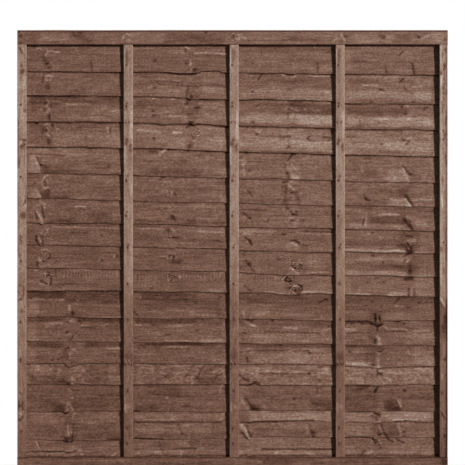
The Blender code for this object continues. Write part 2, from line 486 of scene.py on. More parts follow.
def make_nails(side, material):
    """The nail heads on one side's laths, as one piece."""
    outward = -1 if side == "front" else 1
    verts = []
    faces = []
    for node, places in NAILS.items():
        low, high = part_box(f"{side}_{node}")
        face = (low[1] if side == "front" else high[1]) - outward * HEAD_SINK
        for index, (down, across) in enumerate(places):
            first = len(verts)
            cx = low[0] + across * MM
            cz = high[2] - down * MM
            radius = HEAD_RADIUS * (1 + HEAD_CHANGE * math.sin(7 * index))
            for share, rise in HEAD_RINGS[:-1]:
                for k in range(HEAD_SIDES):
                    turn = 2 * math.pi * k / HEAD_SIDES
                    dx = radius * share * math.cos(turn)
                    dz = radius * share * math.sin(turn)
                    verts.append((cx + dx, face + outward * rise * MM, cz + dz))
            verts.append((cx, face + outward * HEAD_RINGS[-1][1] * MM, cz))
            last = len(verts) - 1
            for ring in range(len(HEAD_RINGS) - 2):
                a = first + ring * HEAD_SIDES
                for k in range(HEAD_SIDES):
                    n = (k + 1) % HEAD_SIDES
                    quad = (a + k, a + n, a + HEAD_SIDES + n, a + HEAD_SIDES + k)
                    faces.append(quad if outward < 0 else quad[::-1])
            a = last - HEAD_SIDES
            for k in range(HEAD_SIDES):
                tri = (a + k, a + (k + 1) % HEAD_SIDES, last)
                faces.append(tri if outward < 0 else tri[::-1])
            foot = tuple(range(first, first + HEAD_SIDES))
            faces.append(foot[::-1] if outward < 0 else foot)
    mesh = bpy.data.meshes.new(f"nails_{side}")
    mesh.from_pydata(verts, [], faces)
    mesh.shade_smooth()
    mesh.set_sharp_from_angle(angle=NAIL_SHARP)
    mesh.materials.append(material)
    piece = bpy.data.objects.new(f"nails_{side}", mesh)
    bpy.context.scene.collection.objects.link(piece)
    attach(piece, "root")


# What the wood shows. On a board, x runs from the panel's left edge, and v is in percent of the height that
# shows, from the lower edge to the lap line above. On a rail, x runs from the left edge, and v in millimetres
# up from the lower edge. On an upright, x runs down from the top, and v in millimetres from the left edge

# Each board's tone before its marks, from the top board down
BOARD_TONES = (
    0.464, 0.476, 0.478, 0.508, 0.476, 0.460, 0.453, 0.447, 0.447,
    0.460, 0.434, 0.446, 0.445, 0.471, 0.418, 0.446, 0.474,
)

# How far below the lap, or below the top rail for the top board, the painted shade reaches, in millimetres,
# and how dark it is
LAP_SHADE = {
    1: (8, 0.08), 2: (5.5, 0.20), 3: (5.5, 0.18), 4: (7, 0.21), 5: (6, 0.20), 6: (4, 0.10), 7: (4, 0.09),
    8: (4, 0.12), 9: (4, 0.11), 10: (4, 0.12), 11: (5, 0.11), 12: (4, 0.06), 13: (4, 0.05), 14: (4, 0.11),
    15: (4.5, 0.12), 16: (3, 0.03), 17: (3, 0.05),
}

BOARD_MARKS = {
    1: dict(
        bands=(
            (1380, 1420, 10, 90, 3), (500, 880, 5, 60, -2), (940, 1340, 72, 100, -3.5), (350, 450, 65, 75, 3),
            (580, 720, 67, 78, 3), (950, 1000, 43, 49, -4), (1150, 1340, 43, 49, -4), (1170, 1260, 12, 33, 3),
            (1280, 1330, 8, 36, 3), (1410, 1500, 69, 75, -3), (1420, 1770, 39, 45, -4),
        ),
        lines=(
            (126, 77, 176, 73, 5, 14), (116, 58, 129, 75, 4, 13), (130, 63, 153, 58, 4, 7),
            (108, 60, 120, 30, 16, -3.5), (74, 82, 86, 88, 3, 7), (92, 88, 104, 80, 4, 6),
            (250, 90, 250, 75, 4, 5), (315, 35, 315, 10, 8, -5), (755, 70, 885, 68, 5, 10),
            (716, 93, 730, 86, 5, 12), (712, 88, 714, 78, 4, -8), (734, 46, 738, 30, 6, 11),
            (760, 60, 880, 60, 3, -4), (1025, 92, 1140, 92, 3, -5), (1267, 96, 1260, 90, 4, 6),
            (1275, 38, 1278, 7, 6, -6), (1640, 79, 1623, 64, 4, -8), (1563, 30, 1570, 5, 5, -8),
            (1677, 38, 1688, 3, 7, -13),
        ),
        spots=(
            (126, 30, 8, 6, -12), (134, 15, 11, 5, -9), (70, 90, 8, 4, -6), (285, 60, 4, 5, 6),
            (583, 42, 7, 6, -10), (738, 12, 4, 6, 10), (719, 34, 9, 5, -8), (755, 10, 10, 7, -9),
            (1256, 95, 3, 4, -6), (1000, 36, 7, 4, -8),
        ),
    ),
    2: dict(
        bands=(
            (40, 110, 10, 90, -2), (735, 785, 10, 90, -3), (1690, 1760, 10, 90, 3), (500, 880, 20, 45, 2),
            (940, 1340, 60, 100, -3), (500, 700, 71, 77, 4), (600, 700, 6, 34, 3), (760, 880, 20, 40, 3),
            (950, 1150, 5, 42, 3), (1160, 1340, 5, 42, 3.5), (940, 1340, 49, 54, -3), (1500, 1700, 84, 95, 3),
            (1410, 1540, 68, 82, -5), (1400, 1770, 17, 42, 5), (1400, 1770, 0, 10, -2),
        ),
        lines=(
            (116, 78, 130, 85, 3, 7), (132, 85, 144, 78, 3, 9), (144, 70, 136, 58, 3, 6),
            (118, 68, 128, 62, 4, 10), (112, 80, 105, 56, 5, -9), (80, 97, 150, 97, 3, 5),
            # The first line here, from 640 to 755 at the top, is painted shadow under the warped edge of the
            # board above.
            (640, 100, 755, 95, 5, -14), (600, 71, 690, 70, 4, 3), (560, 63, 700, 63, 3, -4),
            (500, 49, 880, 49, 3, -4), (725, 50, 725, 20, 8, -7), (714, 30, 722, 5, 4, -8),
            (1043, 99, 1023, 75, 3, -10), (1126, 93, 1144, 86, 3, 10), (1165, 87, 1186, 94, 3, 9),
            (1240, 94, 1325, 94, 5, 9), (1060, 73, 1220, 72, 3, -4), (1230, 3, 1290, 3, 3, 5),
            (1643, 88, 1627, 75, 5, -12), (1600, 77, 1700, 76, 4, -3), (1470, 62, 1530, 62, 5, 9),
            (1680, 60, 1720, 60, 4, 7), (1540, 50, 1557, 46, 5, -13), (1645, 57, 1656, 47, 5, -9),
        ),
        spots=(
            (130, 55, 9, 4, -6), (129, 33, 10, 10, -6), (132, 14, 12, 4, -5), (583, 37, 8, 5, -11),
            (739, 9, 8, 7, -18), (727, 9, 5, 4, 6), (763, 9, 9, 6, -7), (970, 100, 7, 4, 6),
            (1154, 98, 15, 3, -14), (1330, 88, 8, 5, -5), (1320, 30, 12, 10, 4), (999, 30, 6, 4, -12),
            (1157, 42, 8, 3, -8), (1678, 37, 9, 4, -6), (1685, 9, 8, 5, -8), (1505, 6, 6, 4, -6),
        ),
        knots=((737, 72, 10, 2, 6),),
    ),
    3: dict(
        bands=(
            (720, 770, 10, 90, -3), (1435, 1500, 10, 60, -3), (50, 440, 50, 95, -2.5),
            (1400, 1770, 80, 100, -3.5), (940, 1340, 0, 13, -3.5), (50, 440, 67, 100, -5),
            (310, 430, 5, 50, 3), (500, 700, 63, 90, -4), (750, 880, 25, 36, 3), (950, 1150, 50, 96, -3),
            (1150, 1340, 50, 96, -8), (1110, 1150, 91, 97, 8), (950, 1190, 10, 45, 6),
            (1190, 1340, 8, 45, 10), (1400, 1660, 60, 83, -6.5), (1400, 1770, 10, 50, 6.5),
            (1400, 1770, 0, 12, -4),
        ),
        lines=(
            (124, 86, 134, 72, 3, 11), (134, 72, 120, 60, 3, 11), (120, 58, 135, 50, 4, 12),
            (135, 48, 122, 34, 3, 11), (134, 27, 135, 8, 6, -12), (150, 77, 210, 70, 3, 7),
            (210, 67, 250, 66, 5, 14), (250, 66, 305, 68, 5, 11), (610, 30, 720, 29, 6, 6),
            (700, 55, 720, 80, 4, -7), (1220, 93, 1330, 93, 6, 7), (1162, 70, 1190, 62, 4, 12),
            (1192, 62, 1184, 74, 3, 8), (1250, 68, 1266, 60, 3, 10), (1266, 62, 1295, 66, 3, 9),
            (1015, 74, 1030, 80, 4, -8), (1030, 80, 1110, 79, 3, -5), (1150, 50, 1150, 30, 6, -6),
            (1745, 90, 1730, 78, 5, -8), (1650, 98, 1750, 97, 3, 5), (1455, 40, 1455, 15, 8, -5),
        ),
        spots=(
            (116, 70, 5, 5, -8), (113, 44, 5, 5, -8), (142, 62, 5, 4, -7), (195, 95, 45, 3, -4),
            (580, 93, 10, 3, 7), (660, 93, 10, 3, 5), (575, 47, 6, 4, -9), (580, 30, 6, 5, -10),
            (726, 96, 11, 5, -14), (790, 95, 30, 2.5, -7), (720, 82, 8, 6, -7), (715, 65, 9, 4, 5),
            (766, 66, 13, 4, -13), (738, 3, 9, 8, -20), (1222, 65, 5, 5, 10), (1038, 53, 10, 3, -8),
            (1000, 15, 7, 5, -13), (1633, 88, 6, 5, -9), (1652, 60, 7, 4, -12), (1660, 94, 9, 3, 7),
            (1745, 30, 22, 10, 3.5), (1665, 40, 9, 5, 5), (1545, 40, 20, 4, 5),
        ),
    ),
    4: dict(
        bands=(
            (40, 150, 10, 90, -3.5), (380, 440, 10, 90, 2.5), (735, 765, 10, 90, -2.5),
            (100, 440, 60, 95, -3.5), (940, 1340, 0, 22, -3.5), (950, 1010, 30, 90, -2.5),
            (50, 100, 76, 96, -4), (620, 720, 6, 42, 3), (750, 880, 12, 47, 3), (940, 1340, 8, 50, 5),
            (940, 1340, 0, 8, -2), (1400, 1770, 20, 50, 4.5), (1540, 1630, 7, 19, -5),
        ),
        lines=(
            (116, 87, 128, 91, 3, 6), (133, 88, 141, 78, 3, 7), (123, 76, 133, 68, 4, 10),
            (136, 60, 125, 56, 4, 7), (126, 50, 136, 42, 4, 9), (109, 74, 104, 50, 5, -6),
            (130, 30, 135, 10, 9, -7), (170, 76, 190, 70, 3, -5), (257, 79, 370, 77, 3, -5),
            (265, 72, 360, 72, 4, 3), (383, 76, 384, 60, 3, 8), (396, 78, 393, 60, 4, -9),
            (289, 52, 289, 28, 3, -9), (510, 70, 605, 69, 6, 12), (660, 66, 693, 65, 6, 14),
            (740, 100, 718, 84, 6, -15), (735, 60, 750, 45, 5, -6), (576, 44, 584, 34, 4, -7),
            (584, 44, 576, 34, 4, -5), (590, 17, 635, 12, 3, -4), (1120, 63, 1160, 63, 6, -9),
            (1030, 64, 1120, 64, 3, -4), (1244, 68, 1234, 58, 4, -13), (1234, 58, 1244, 50, 4, -12),
            (1240, 50, 1265, 49, 3, -5), (1300, 66, 1330, 62, 5, -13), (1316, 52, 1336, 58, 4, -8),
            (1153, 50, 1153, 25, 5, -4), (1400, 69, 1440, 69, 3, -5), (1634, 66, 1642, 60, 3, -9),
            (1420, 48, 1530, 46, 3, -5), (1633, 92, 1633, 80, 4, -6),
        ),
        spots=(
            (82, 96, 7, 5, -17), (122, 63, 5, 4, -10), (147, 86, 5, 6, -10), (168, 69, 5, 4, 10),
            (750, 38, 9, 4, 5), (730, 13, 9, 9, -11), (978, 96, 5, 4, -7), (1019, 68, 7, 4, -11),
            (1030, 78, 9, 3, 4), (1152, 22, 6, 5, -10), (1335, 85, 6, 10, -7), (1645, 58, 6, 4, -15),
            (1664, 54, 6, 4, -15), (1656, 46, 6, 4, -13), (1665, 67, 10, 4, 5), (1548, 44, 9, 4, -13),
            (1740, 30, 20, 6, 2),
        ),
        knots=((762, 66, 16, 6, 4), (1038, 49, 8, 5, 0)),
    ),
    5: dict(
        bands=(
            (50, 450, 42, 90, 3), (500, 880, 60, 80, 2), (90, 130, 85, 97, 5), (40, 90, 5, 60, 2),
            (100, 135, 0, 30, -9), (130, 250, 0, 14, -5), (400, 440, 5, 45, 2), (570, 780, 3, 27, -4),
            (1480, 1530, 18, 46, -4), (1720, 1770, 3, 25, 3),
        ),
        fans=((38, 73, 99, 65, 7), (1135, 1160, 1200, 50, 5), (1570, 1635, 1668, 50, 7)),
        lines=(
            (1153, 64, 1196, 28, 3, 8), (1165, 90, 1149, 70, 5, -11), (1136, 50, 1146, 20, 13, -6),
            (1146, 24, 1154, 0, 12, -8), (50, 72, 210, 68, 3, -7), (50, 67, 160, 66, 3, 4),
            (73, 65, 99, 0, 5, 5), (80, 62, 97, 32, 4, -6), (629, 98, 605, 80, 8, 20),
            (560, 88, 590, 89, 5, -8), (778, 89, 770, 75, 4, -7), (980, 65, 1030, 65, 3, -6),
            (963, 56, 963, 13, 8, 5), (1470, 87, 1500, 87, 4, -6), (1462, 55, 1467, 38, 6, 6),
            (1637, 55, 1666, 2, 6, 8), (1637, 65, 1665, 33, 5, -9),
        ),
        spots=(
            (1182, 8, 17, 7, 8), (1157, 60, 4, 4, -16), (1173, 94, 9, 5, -15), (1142, 99, 8, 3, -10),
            (180, 95, 18, 3, 5), (100, 31, 6, 4, -14), (260, 10, 6, 3, -7), (387, 30, 6, 5, -6),
            (612, 97, 4, 4, -10), (665, 48, 4, 3, -6), (677, 48, 4, 3, -6), (575, 100, 8, 3, -12),
            (642, 98, 8, 4, -16), (725, 98, 6, 4, -12), (812, 99, 5, 3, -10), (975, 96, 6, 4, -12),
            (950, 80, 4, 4, -7), (985, 30, 12, 4, -5), (1285, 98, 6, 3, -10), (1303, 97, 5, 3, -10),
            (993, 100, 5, 3, -10), (1414, 78, 6, 3, -7), (1605, 15, 6, 8, 4), (1670, 31, 6, 5, -16),
            (1685, 27, 10, 4, -6), (1445, 100, 5, 3, -10), (1500, 99, 6, 3, -10), (1735, 99, 7, 3, -10),
        ),
    ),
    6: dict(
        bands=(
            (1155, 1190, 10, 60, -3), (1645, 1675, 10, 90, -3.5), (50, 450, 60, 95, 1.5),
            (1390, 1660, 2, 25, -3), (1390, 1660, 40, 65, -2.5), (40, 95, 80, 100, -5), (100, 135, 0, 30, -9),
            (130, 220, 0, 12, -4), (550, 750, 5, 22, -3), (940, 1150, 5, 22, -3), (1030, 1090, 20, 90, -2),
            (1620, 1660, 45, 77, -7), (1680, 1770, 25, 35, 5),
        ),
        fans=((50, 76, 100, 45, 10), (1580, 1650, 1673, 33, 9)),
        lines=(
            (1130, 88, 1152, 90, 5, -12), (1154, 86, 1172, 93, 4, 9), (1152, 80, 1160, 72, 3, 8),
            (1156, 73, 1180, 56, 4, 11), (1140, 70, 1139, 5, 18, -4.5), (1184, 50, 1200, 12, 14, -5),
            (1178, 76, 1196, 74, 4, -6), (102, 64, 114, 87, 4, 10), (114, 87, 130, 91, 4, 10),
            (102, 55, 115, 38, 4, 10), (115, 38, 132, 45, 4, 9), (124, 70, 132, 58, 3, 7),
            (76, 45, 100, 0, 5, 6), (200, 66, 370, 66, 3, -3), (330, 49, 380, 49, 3, -5),
            (615, 97, 607, 86, 6, -6), (662, 42, 673, 27, 6, -8), (640, 52, 880, 51, 3, -4),
            (960, 58, 973, 50, 4, 6), (983, 50, 995, 33, 6, -8), (1470, 45, 1478, 50, 3, -8),
            (1650, 33, 1673, 0, 6, 10), (1653, 40, 1680, 7, 9, -13),
        ),
        spots=(
            (1124, 68, 5, 3, -11), (1169, 47, 8, 3, -12), (1176, 25, 7, 8, 4), (115, 66, 6, 5, -6),
            (130, 32, 6, 4, -10), (73, 59, 5, 3, -9), (90, 63, 5, 3, 6), (617, 100, 9, 5, -12),
            (660, 84, 5, 3, -6), (658, 40, 5, 4, 6), (965, 100, 13, 4, -12), (1480, 30, 8, 6, -17),
            (1493, 24, 11, 4, -8), (1522, 20, 6, 3, -6),
        ),
        knots=((627, 65, 10, 8, 5),),
    ),
    7: dict(
        bands=(
            (70, 160, 10, 90, 3), (795, 830, 10, 90, -2.5), (1625, 1655, 10, 90, -3), (50, 450, 2, 30, -1.5),
            (1390, 1770, 85, 100, -3), (120, 240, 0, 15, -5), (300, 400, 10, 50, -3), (720, 760, 0, 28, -6),
            (1170, 1200, 3, 25, 5), (1500, 1650, 27, 56, -7), (1400, 1650, 10, 24, 5),
            (1680, 1740, 20, 42, 6), (1680, 1720, 2, 12, -4),
        ),
        lines=(
            (94, 90, 116, 78, 4, 8), (116, 78, 112, 60, 4, 8), (100, 72, 106, 56, 4, -7),
            (80, 46, 99, 20, 8, 10), (77, 44, 84, 16, 5, -13), (103, 50, 114, 26, 5, -13),
            (98, 25, 105, 0, 6, 6), (245, 71, 290, 71, 4, 12), (260, 83, 430, 83, 4, 3),
            (570, 82, 880, 82, 5, 3), (560, 66, 610, 66, 3, -5), (655, 37, 669, 22, 8, -11),
            (500, 15, 610, 15, 5, -5), (830, 14, 880, 14, 5, -5), (760, 32, 880, 32, 4, 4),
            (950, 75, 1060, 75, 4, -5), (950, 50, 1150, 50, 3, -3), (960, 60, 990, 38, 8, -8),
            (1068, 33, 1062, 24, 5, -8), (1160, 74, 1170, 58, 4, -13), (1170, 58, 1188, 56, 5, -14),
            (1155, 33, 1165, 43, 4, 7), (1165, 43, 1190, 43, 4, 6), (1192, 44, 1192, 28, 4, 6),
            (1190, 44, 1270, 44, 3, 5), (1550, 66, 1620, 67, 5, 10), (1646, 46, 1676, 8, 10, -15),
            (1665, 45, 1673, 25, 5, -8), (1472, 45, 1468, 20, 5, -10), (1480, 48, 1480, 22, 8, 5),
            (1700, 81, 1770, 81, 4, -7),
        ),
        spots=(
            (375, 0, 6, 3, -7), (630, 72, 8, 5, -6), (987, 40, 7, 4, -7), (965, 35, 10, 6, 4),
            (1186, 70, 6, 3.5, -13), (1150, 84, 8, 4, -8), (1165, 33, 6, 4, -7), (1210, 33, 8, 6, -5),
            (1145, 89, 8, 4, -7), (1500, 83, 8, 4, -6), (1538, 62, 4, 4, 6), (1620, 18, 20, 4, 4),
            (1657, 60, 4, 4, 7),
        ),
    ),
    8: dict(
        bands=(
            (1630, 1710, 10, 95, -5.5), (1390, 1650, 30, 60, -3), (120, 220, 5, 15, 4),
            (500, 620, 30, 49, -3), (660, 880, 28, 42, -4), (650, 670, 3, 10, 5), (950, 1100, 78, 92, 5),
            (1140, 1200, 5, 37, 5), (1240, 1340, 3, 20, 3), (1610, 1650, 24, 42, -7), (1395, 1652, 3, 14, 9),
            (1680, 1770, 0, 8, 5),
        ),
        lines=(
            (150, 84, 440, 79, 4, 6), (80, 38, 79, 20, 6, -12), (81, 20, 90, 2, 6, -14),
            (88, 40, 98, 15, 5, 8), (106, 30, 106, 12, 6, -8), (106, 10, 114, 0, 4, -8),
            (220, 59, 300, 59, 3, -5), (500, 90, 580, 90, 3, -5), (500, 81, 620, 81, 4, 6),
            (650, 80, 770, 78, 3, 3), (770, 75, 880, 74, 5, 8), (655, 84, 667, 70, 4, 11),
            (960, 72, 990, 72, 7, 9), (1210, 87, 1340, 85, 5, -5), (1190, 79, 1340, 76, 4, 6),
            (970, 55, 987, 42, 6, -10), (987, 42, 995, 28, 8, -14), (1163, 47, 1180, 50, 4, -12),
            (1180, 50, 1198, 38, 6, -15), (1170, 37, 1190, 28, 5, 8), (1542, 72, 1543, 60, 4, 7),
            (1655, 76, 1680, 75, 4, -11), (1660, 60, 1690, 61, 6, 11), (1645, 52, 1690, 53, 3, 6),
            (1658, 43, 1675, 24, 6, -13), (1650, 30, 1664, 2, 5, -14), (1680, 34, 1672, 5, 4, -10),
        ),
        spots=(
            (126, 68, 4, 4, 7), (100, 58, 6, 3, 6), (115, 46, 4, 3, 6), (106, 42, 9, 4, -5),
            (357, 48, 6, 4, -8), (640, 76, 7, 6, -6), (670, 44, 18, 4, -11), (850, 36, 12, 3, -7),
            (1133, 73, 9, 5, -9), (977, 38, 5, 5, 6), (1225, 30, 16, 3, -7), (1510, 87, 7, 4, -8),
            (1496, 84, 3, 4, 6), (1665, 24, 5, 4, 6), (1668, 6, 13, 8, -22), (1620, 12, 25, 4, 5),
        ),
        knots=((114, 66, 12, 2, 7),),
    ),
    9: dict(
        bands=(
            (490, 550, 10, 90, 3), (1235, 1280, 20, 90, 3), (930, 970, 10, 90, -2.5),
            (1665, 1700, 10, 90, -3), (95, 200, 7, 20, 5), (480, 880, 10, 90, -1.2), (650, 700, 32, 50, -9),
            (700, 880, 13, 21, 3), (1450, 1650, 60, 85, 3), (1400, 1500, 63, 72, 3),
            (1500, 1650, 30, 49, -4.5), (1395, 1655, 2, 20, 9), (1680, 1770, 0, 10, 5),
        ),
        fans=((1150, 1162, 1193, 34, 6),),
        lines=(
            (102, 84, 125, 80, 3, 10), (127, 79, 141, 70, 3, 7), (138, 64, 128, 57, 3, 5),
            (112, 60, 124, 70, 3, 9), (110, 76, 125, 70, 3, -10), (133, 62, 139, 48, 3, -12),
            (93, 48, 99, 32, 4, 10), (106, 33, 120, 32, 5, -7), (345, 36, 353, 43, 3, 7),
            (83, 25, 85, 5, 7, -8), (652, 78, 670, 66, 3, 5), (669, 66, 661, 55, 4, -12),
            (608, 65, 626, 64, 4, 7), (600, 55, 630, 54, 3, -6), (985, 35, 1005, 12, 8, -8),
            (1168, 30, 1194, 10, 5, 7), (1165, 45, 1173, 32, 5, -10), (1204, 50, 1205, 33, 4, -10),
            (1177, 25, 1220, 24, 3, -8), (1162, 34, 1193, 6, 4, 8), (1230, 8, 1320, 14, 5, 7),
            (1667, 76, 1654, 65, 4, 11), (1658, 96, 1644, 84, 4, -10), (1650, 72, 1643, 60, 4, -8),
            (1668, 55, 1668, 15, 14, -6),
        ),
        spots=(
            (90, 37, 6, 5, 7), (130, 42, 5, 3, -11), (165, 30, 10, 3, -7), (413, 59, 5, 5, 7),
            (423, 59, 5, 4, -8), (358, 40, 5, 4, -7), (962, 82, 5, 3, -7), (972, 55, 7, 4, -11),
            (981, 43, 10, 7, -12), (1110, 65, 9, 4, -10), (1180, 60, 14, 3.5, -8), (1510, 86, 8, 5, -8),
            (1555, 58, 6, 5, -10), (1666, 30, 12, 16, -3), (1620, 40, 15, 4, -4),
        ),
        knots=(
            (115, 77, 12, 2, 8), (110, 40, 11, 3, 7), (655, 62, 19, 4, 3.5), (1133, 66, 15, 5, 4),
            (1187, 42, 21, 13, 3),
        ),
    ),
    10: dict(
        bands=(
            (120, 145, 10, 90, -2.5), (650, 700, 10, 90, -3), (1135, 1195, 10, 90, -4),
            (1270, 1330, 20, 90, 2.5), (1380, 1420, 10, 90, 3), (1690, 1770, 10, 90, 3.5),
            (810, 870, 3, 20, 4), (1040, 1160, 2, 10, 5), (1580, 1655, 2, 20, 9),
        ),
        saws=(
            (165, 440, 60, 93, 13, 8.5), (700, 880, 60, 92, 13, 7), (500, 620, 25, 85, 15, 4.5),
            (1000, 1100, 62, 90, 13, 8),
        ),
        lines=(
            (230, 97, 350, 97, 3, 5), (162, 95, 162, 65, 8, -5), (108, 85, 122, 76, 3, 7),
            (116, 55, 134, 50, 3, 7), (136, 46, 129, 25, 4, 6), (128, 86, 136, 66, 3, -10),
            (120, 62, 126, 66, 3, -10), (141, 62, 141, 30, 4, -13), (108, 42, 128, 30, 4, -12),
            (160, 30, 340, 30, 3, -4), (640, 80, 655, 90, 4, -6), (670, 74, 680, 66, 5, -7),
            (700, 87, 820, 86, 3, -5), (570, 97, 585, 97, 4, 7), (1162, 30, 1184, 48, 5, 9),
            (1184, 48, 1199, 36, 4, 9), (1194, 52, 1209, 44, 5, -13), (1209, 44, 1207, 22, 7, -15),
            (1206, 20, 1192, 5, 5, -14), (965, 35, 995, 8, 5, -7), (1210, 10, 1330, 9, 7, 9),
            (1676, 90, 1688, 80, 4, -8), (1653, 90, 1648, 83, 6, -8), (1663, 40, 1663, 5, 5, -8),
            (1675, 40, 1675, 5, 5, 6), (1688, 40, 1688, 8, 4, -7), (1400, 4, 1500, 4, 5, 9),
        ),
        spots=(
            (78, 92, 8, 4, 7), (102, 46, 7, 4, -10), (100, 32, 7, 3, 7), (130, 15, 10, 3, 7),
            (183, 16, 8, 3, -6), (689, 70, 6, 5, 11), (638, 56, 5, 4, 6), (570, 15, 8, 4, -6),
            (1160, 74, 8, 5, -8), (1142, 85, 6, 3, -6), (1180, 22, 10, 6, -11), (1160, 36, 9, 4, -10),
            (1666, 92, 14, 7, -17), (1648, 86, 9, 4, -8), (1490, 67, 7, 3, -6), (1538, 65, 6, 3, -8),
            (1557, 65, 6, 4, -9), (1530, 87, 7, 3, -7), (1455, 30, 4, 10, 4),
        ),
        knots=(
            (126, 70, 12, 3, 8), (120, 35, 12, 3, 8), (656, 68, 19, 5, 4.5), (1148, 78, 20, 15, 0),
            (1185, 28, 21, 8, 5),
        ),
    ),
    11: dict(
        bands=(
            (40, 90, 10, 90, 4.5), (740, 870, 10, 90, -3), (1390, 1770, 40, 65, -2.5),
            (40, 115, 72, 100, -12), (115, 200, 70, 100, -10), (200, 450, 55, 100, -6),
            (500, 760, 46, 98, -4), (530, 720, 68, 100, -4), (510, 630, 12, 33, 2), (730, 845, 10, 33, 4),
            (940, 1340, 58, 95, -5), (1150, 1260, 15, 25, 3), (1390, 1770, 66, 100, -5),
            (1500, 1550, 0, 45, -5), (1550, 1770, 4, 28, 2),
        ),
        lines=(
            (70, 69, 110, 68, 4, 6), (221, 42, 220, 28, 8, 9), (280, 3, 440, 3, 3, 5),
            (853, 78, 865, 86, 4, -7), (650, 33, 710, 33, 5, 4), (740, 13, 840, 13, 4, 4),
            (1310, 80, 1282, 66, 5, -7), (955, 70, 968, 62, 4, 5), (960, 30, 966, 10, 9, 5),
            (1280, 35, 1295, 9, 4, 4), (1608, 75, 1620, 90, 6, -7), (1620, 90, 1650, 95, 6, -7),
            (1710, 64, 1760, 64, 3, 5), (1520, 30, 1522, 5, 6, -24), (1536, 20, 1539, 7, 5, -20),
        ),
        spots=(
            *((x, 97, 4, 2, -10) for x in (172, 202, 257, 336, 359, 385, 403, 420)), (188, 65, 7, 4, 7),
            (255, 64, 6, 4, 6), (222, 37, 3, 3, -6), (233, 16, 7, 11, -10), (430, 61, 6, 4, 6),
            (523, 78, 5, 4, 6), (529, 79, 3, 3, -9), (640, 80, 4, 4, -6), (717, 70, 7, 3, -6),
            (495, 23, 5, 4, -8), (505, 14, 5, 3, -7), (1315, 78, 8, 4, -7), (1035, 22, 40, 11, 3.5),
            (1100, 20, 5, 7, 4), (1615, 61, 7, 3, 11), (1635, 59, 6, 3, 11), (1663, 55, 8, 3, -8),
            (1708, 74, 8, 3, -7), (1545, 60, 5, 4, -7), (1507, 75, 6, 3, -6), (1530, 8, 4, 4, 8),
        ),
        knots=((240, 78, 8, 5, 2),),
    ),
    12: dict(
        bands=(
            (40, 80, 10, 100, 4), (840, 870, 10, 90, -2.5), (1490, 1545, 15, 90, -4),
            (500, 880, 72, 100, -3.5), (1560, 1770, 60, 82, -3), (40, 200, 80, 100, -9),
            (250, 440, 80, 100, -7), (105, 150, 65, 76, 4), (500, 760, 83, 97, -6), (775, 875, 4, 17, 7),
            (940, 1340, 76, 100, -5), (1000, 1340, 5, 42, 3), (1390, 1560, 85, 100, -6),
            (1490, 1520, 25, 38, -5), (1650, 1760, 7, 45, 3),
        ),
        lines=(
            (150, 75, 187, 74, 5, 6), (265, 86, 272, 74, 4, -7), (270, 67, 300, 67, 4, 7),
            (270, 60, 330, 58, 3, -6), (236, 22, 223, 5, 4, -10), (40, 7, 90, 7, 3, 5),
            (500, 73, 525, 73, 5, 12), (535, 75, 560, 75, 5, 10), (620, 74, 680, 72, 3, 5),
            (680, 72, 740, 74, 3, 5), (620, 66, 720, 66, 3, 3), (650, 6, 730, 6, 3, 5),
            (970, 100, 997, 92, 4, -12), (975, 84, 1013, 70, 5, 10), (1130, 67, 1165, 65, 4, 12),
            (1173, 64, 1187, 64, 4, 12), (1300, 63, 1330, 62, 6, 5), (1050, 50, 1280, 46, 3, -6),
            (1280, 42, 1292, 33, 4, -5), (1396, 98, 1434, 96, 5, -7), (1444, 97, 1470, 94, 5, -7),
            (1486, 93, 1520, 92, 5, -8), (1532, 80, 1530, 66, 5, -12), (1395, 65, 1435, 65, 7, 9),
            (1400, 50, 1500, 50, 3, -6), (1564, 72, 1575, 64, 5, 12), (1575, 65, 1600, 67, 5, 12),
            (1600, 66, 1636, 66, 5, 13), (1636, 70, 1660, 59, 5, 10), (1560, 57, 1660, 56, 3, -8),
            (1690, 58, 1750, 58, 4, 7), (1530, 40, 1538, 28, 9, 11), (1538, 28, 1540, 7, 11, 12),
            (1522, 25, 1520, 10, 7, -10),
        ),
        spots=(
            (230, 82, 10, 3, 6), (282, 93, 4, 3, -12), (212, 80, 7, 4, -7), (365, 68, 10, 3, 6),
            (211, 39, 5, 3.5, -13), (220, 31, 9, 3, 6), (175, 11, 8, 3, -6), (580, 72, 9, 3, -5),
            (780, 75, 9, 3, 5), (875, 80, 6, 5, 6), (763, 50, 5, 4, -8), (635, 34, 15, 4, -7),
            (633, 10, 7, 3, 7), (1003, 73, 9, 3.5, 6), (1325, 76, 7, 3, -8), (965, 42, 11, 4, -6),
            (1084, 97, 5, 3.5, -22), (1426, 90, 9, 3, -7), (1468, 88, 7, 3, -8), (1414, 98, 6, 3, -14),
            (1452, 96, 6, 3, -14), (1483, 96, 5, 3, -10), (1508, 90, 6, 3.5, -18), (1535, 86, 13, 5, -26),
            (1613, 97, 14, 3, -14), (1645, 88, 5, 4, -8),
        ),
    ),
    13: dict(
        bands=(
            (40, 80, 10, 100, 4), (1150, 1250, 10, 90, 3), (1475, 1565, 10, 90, -3.5),
            (1680, 1770, 10, 90, 4), (500, 880, 66, 95, -2.5), (1390, 1770, 0, 25, 3.5),
            (1560, 1770, 72, 100, -3), (40, 200, 73, 97, -8), (290, 440, 75, 97, -7), (195, 216, 27, 62, -8),
            (500, 880, 86, 100, -6), (550, 780, 86, 100, -5), (500, 560, 70, 90, -5),
            (940, 1340, 84, 100, -7), (1000, 1340, 5, 53, 4), (1390, 1560, 88, 100, -8),
            (1410, 1500, 7, 30, 4),
        ),
        lines=(
            (380, 71, 440, 71, 6, 8), (220, 82, 230, 88, 4, 6), (204, 70, 216, 78, 5, -10),
            (220, 88, 240, 93, 4, -6), (220, 55, 222, 35, 6, 5), (610, 73, 650, 81, 4, 9),
            (650, 81, 700, 78, 4, 9), (700, 78, 730, 80, 4, 8), (740, 73, 840, 68, 3, 3),
            (840, 8, 880, 8, 4, 4), (990, 65, 970, 53, 4, -7), (1010, 69, 1150, 69, 4, -5),
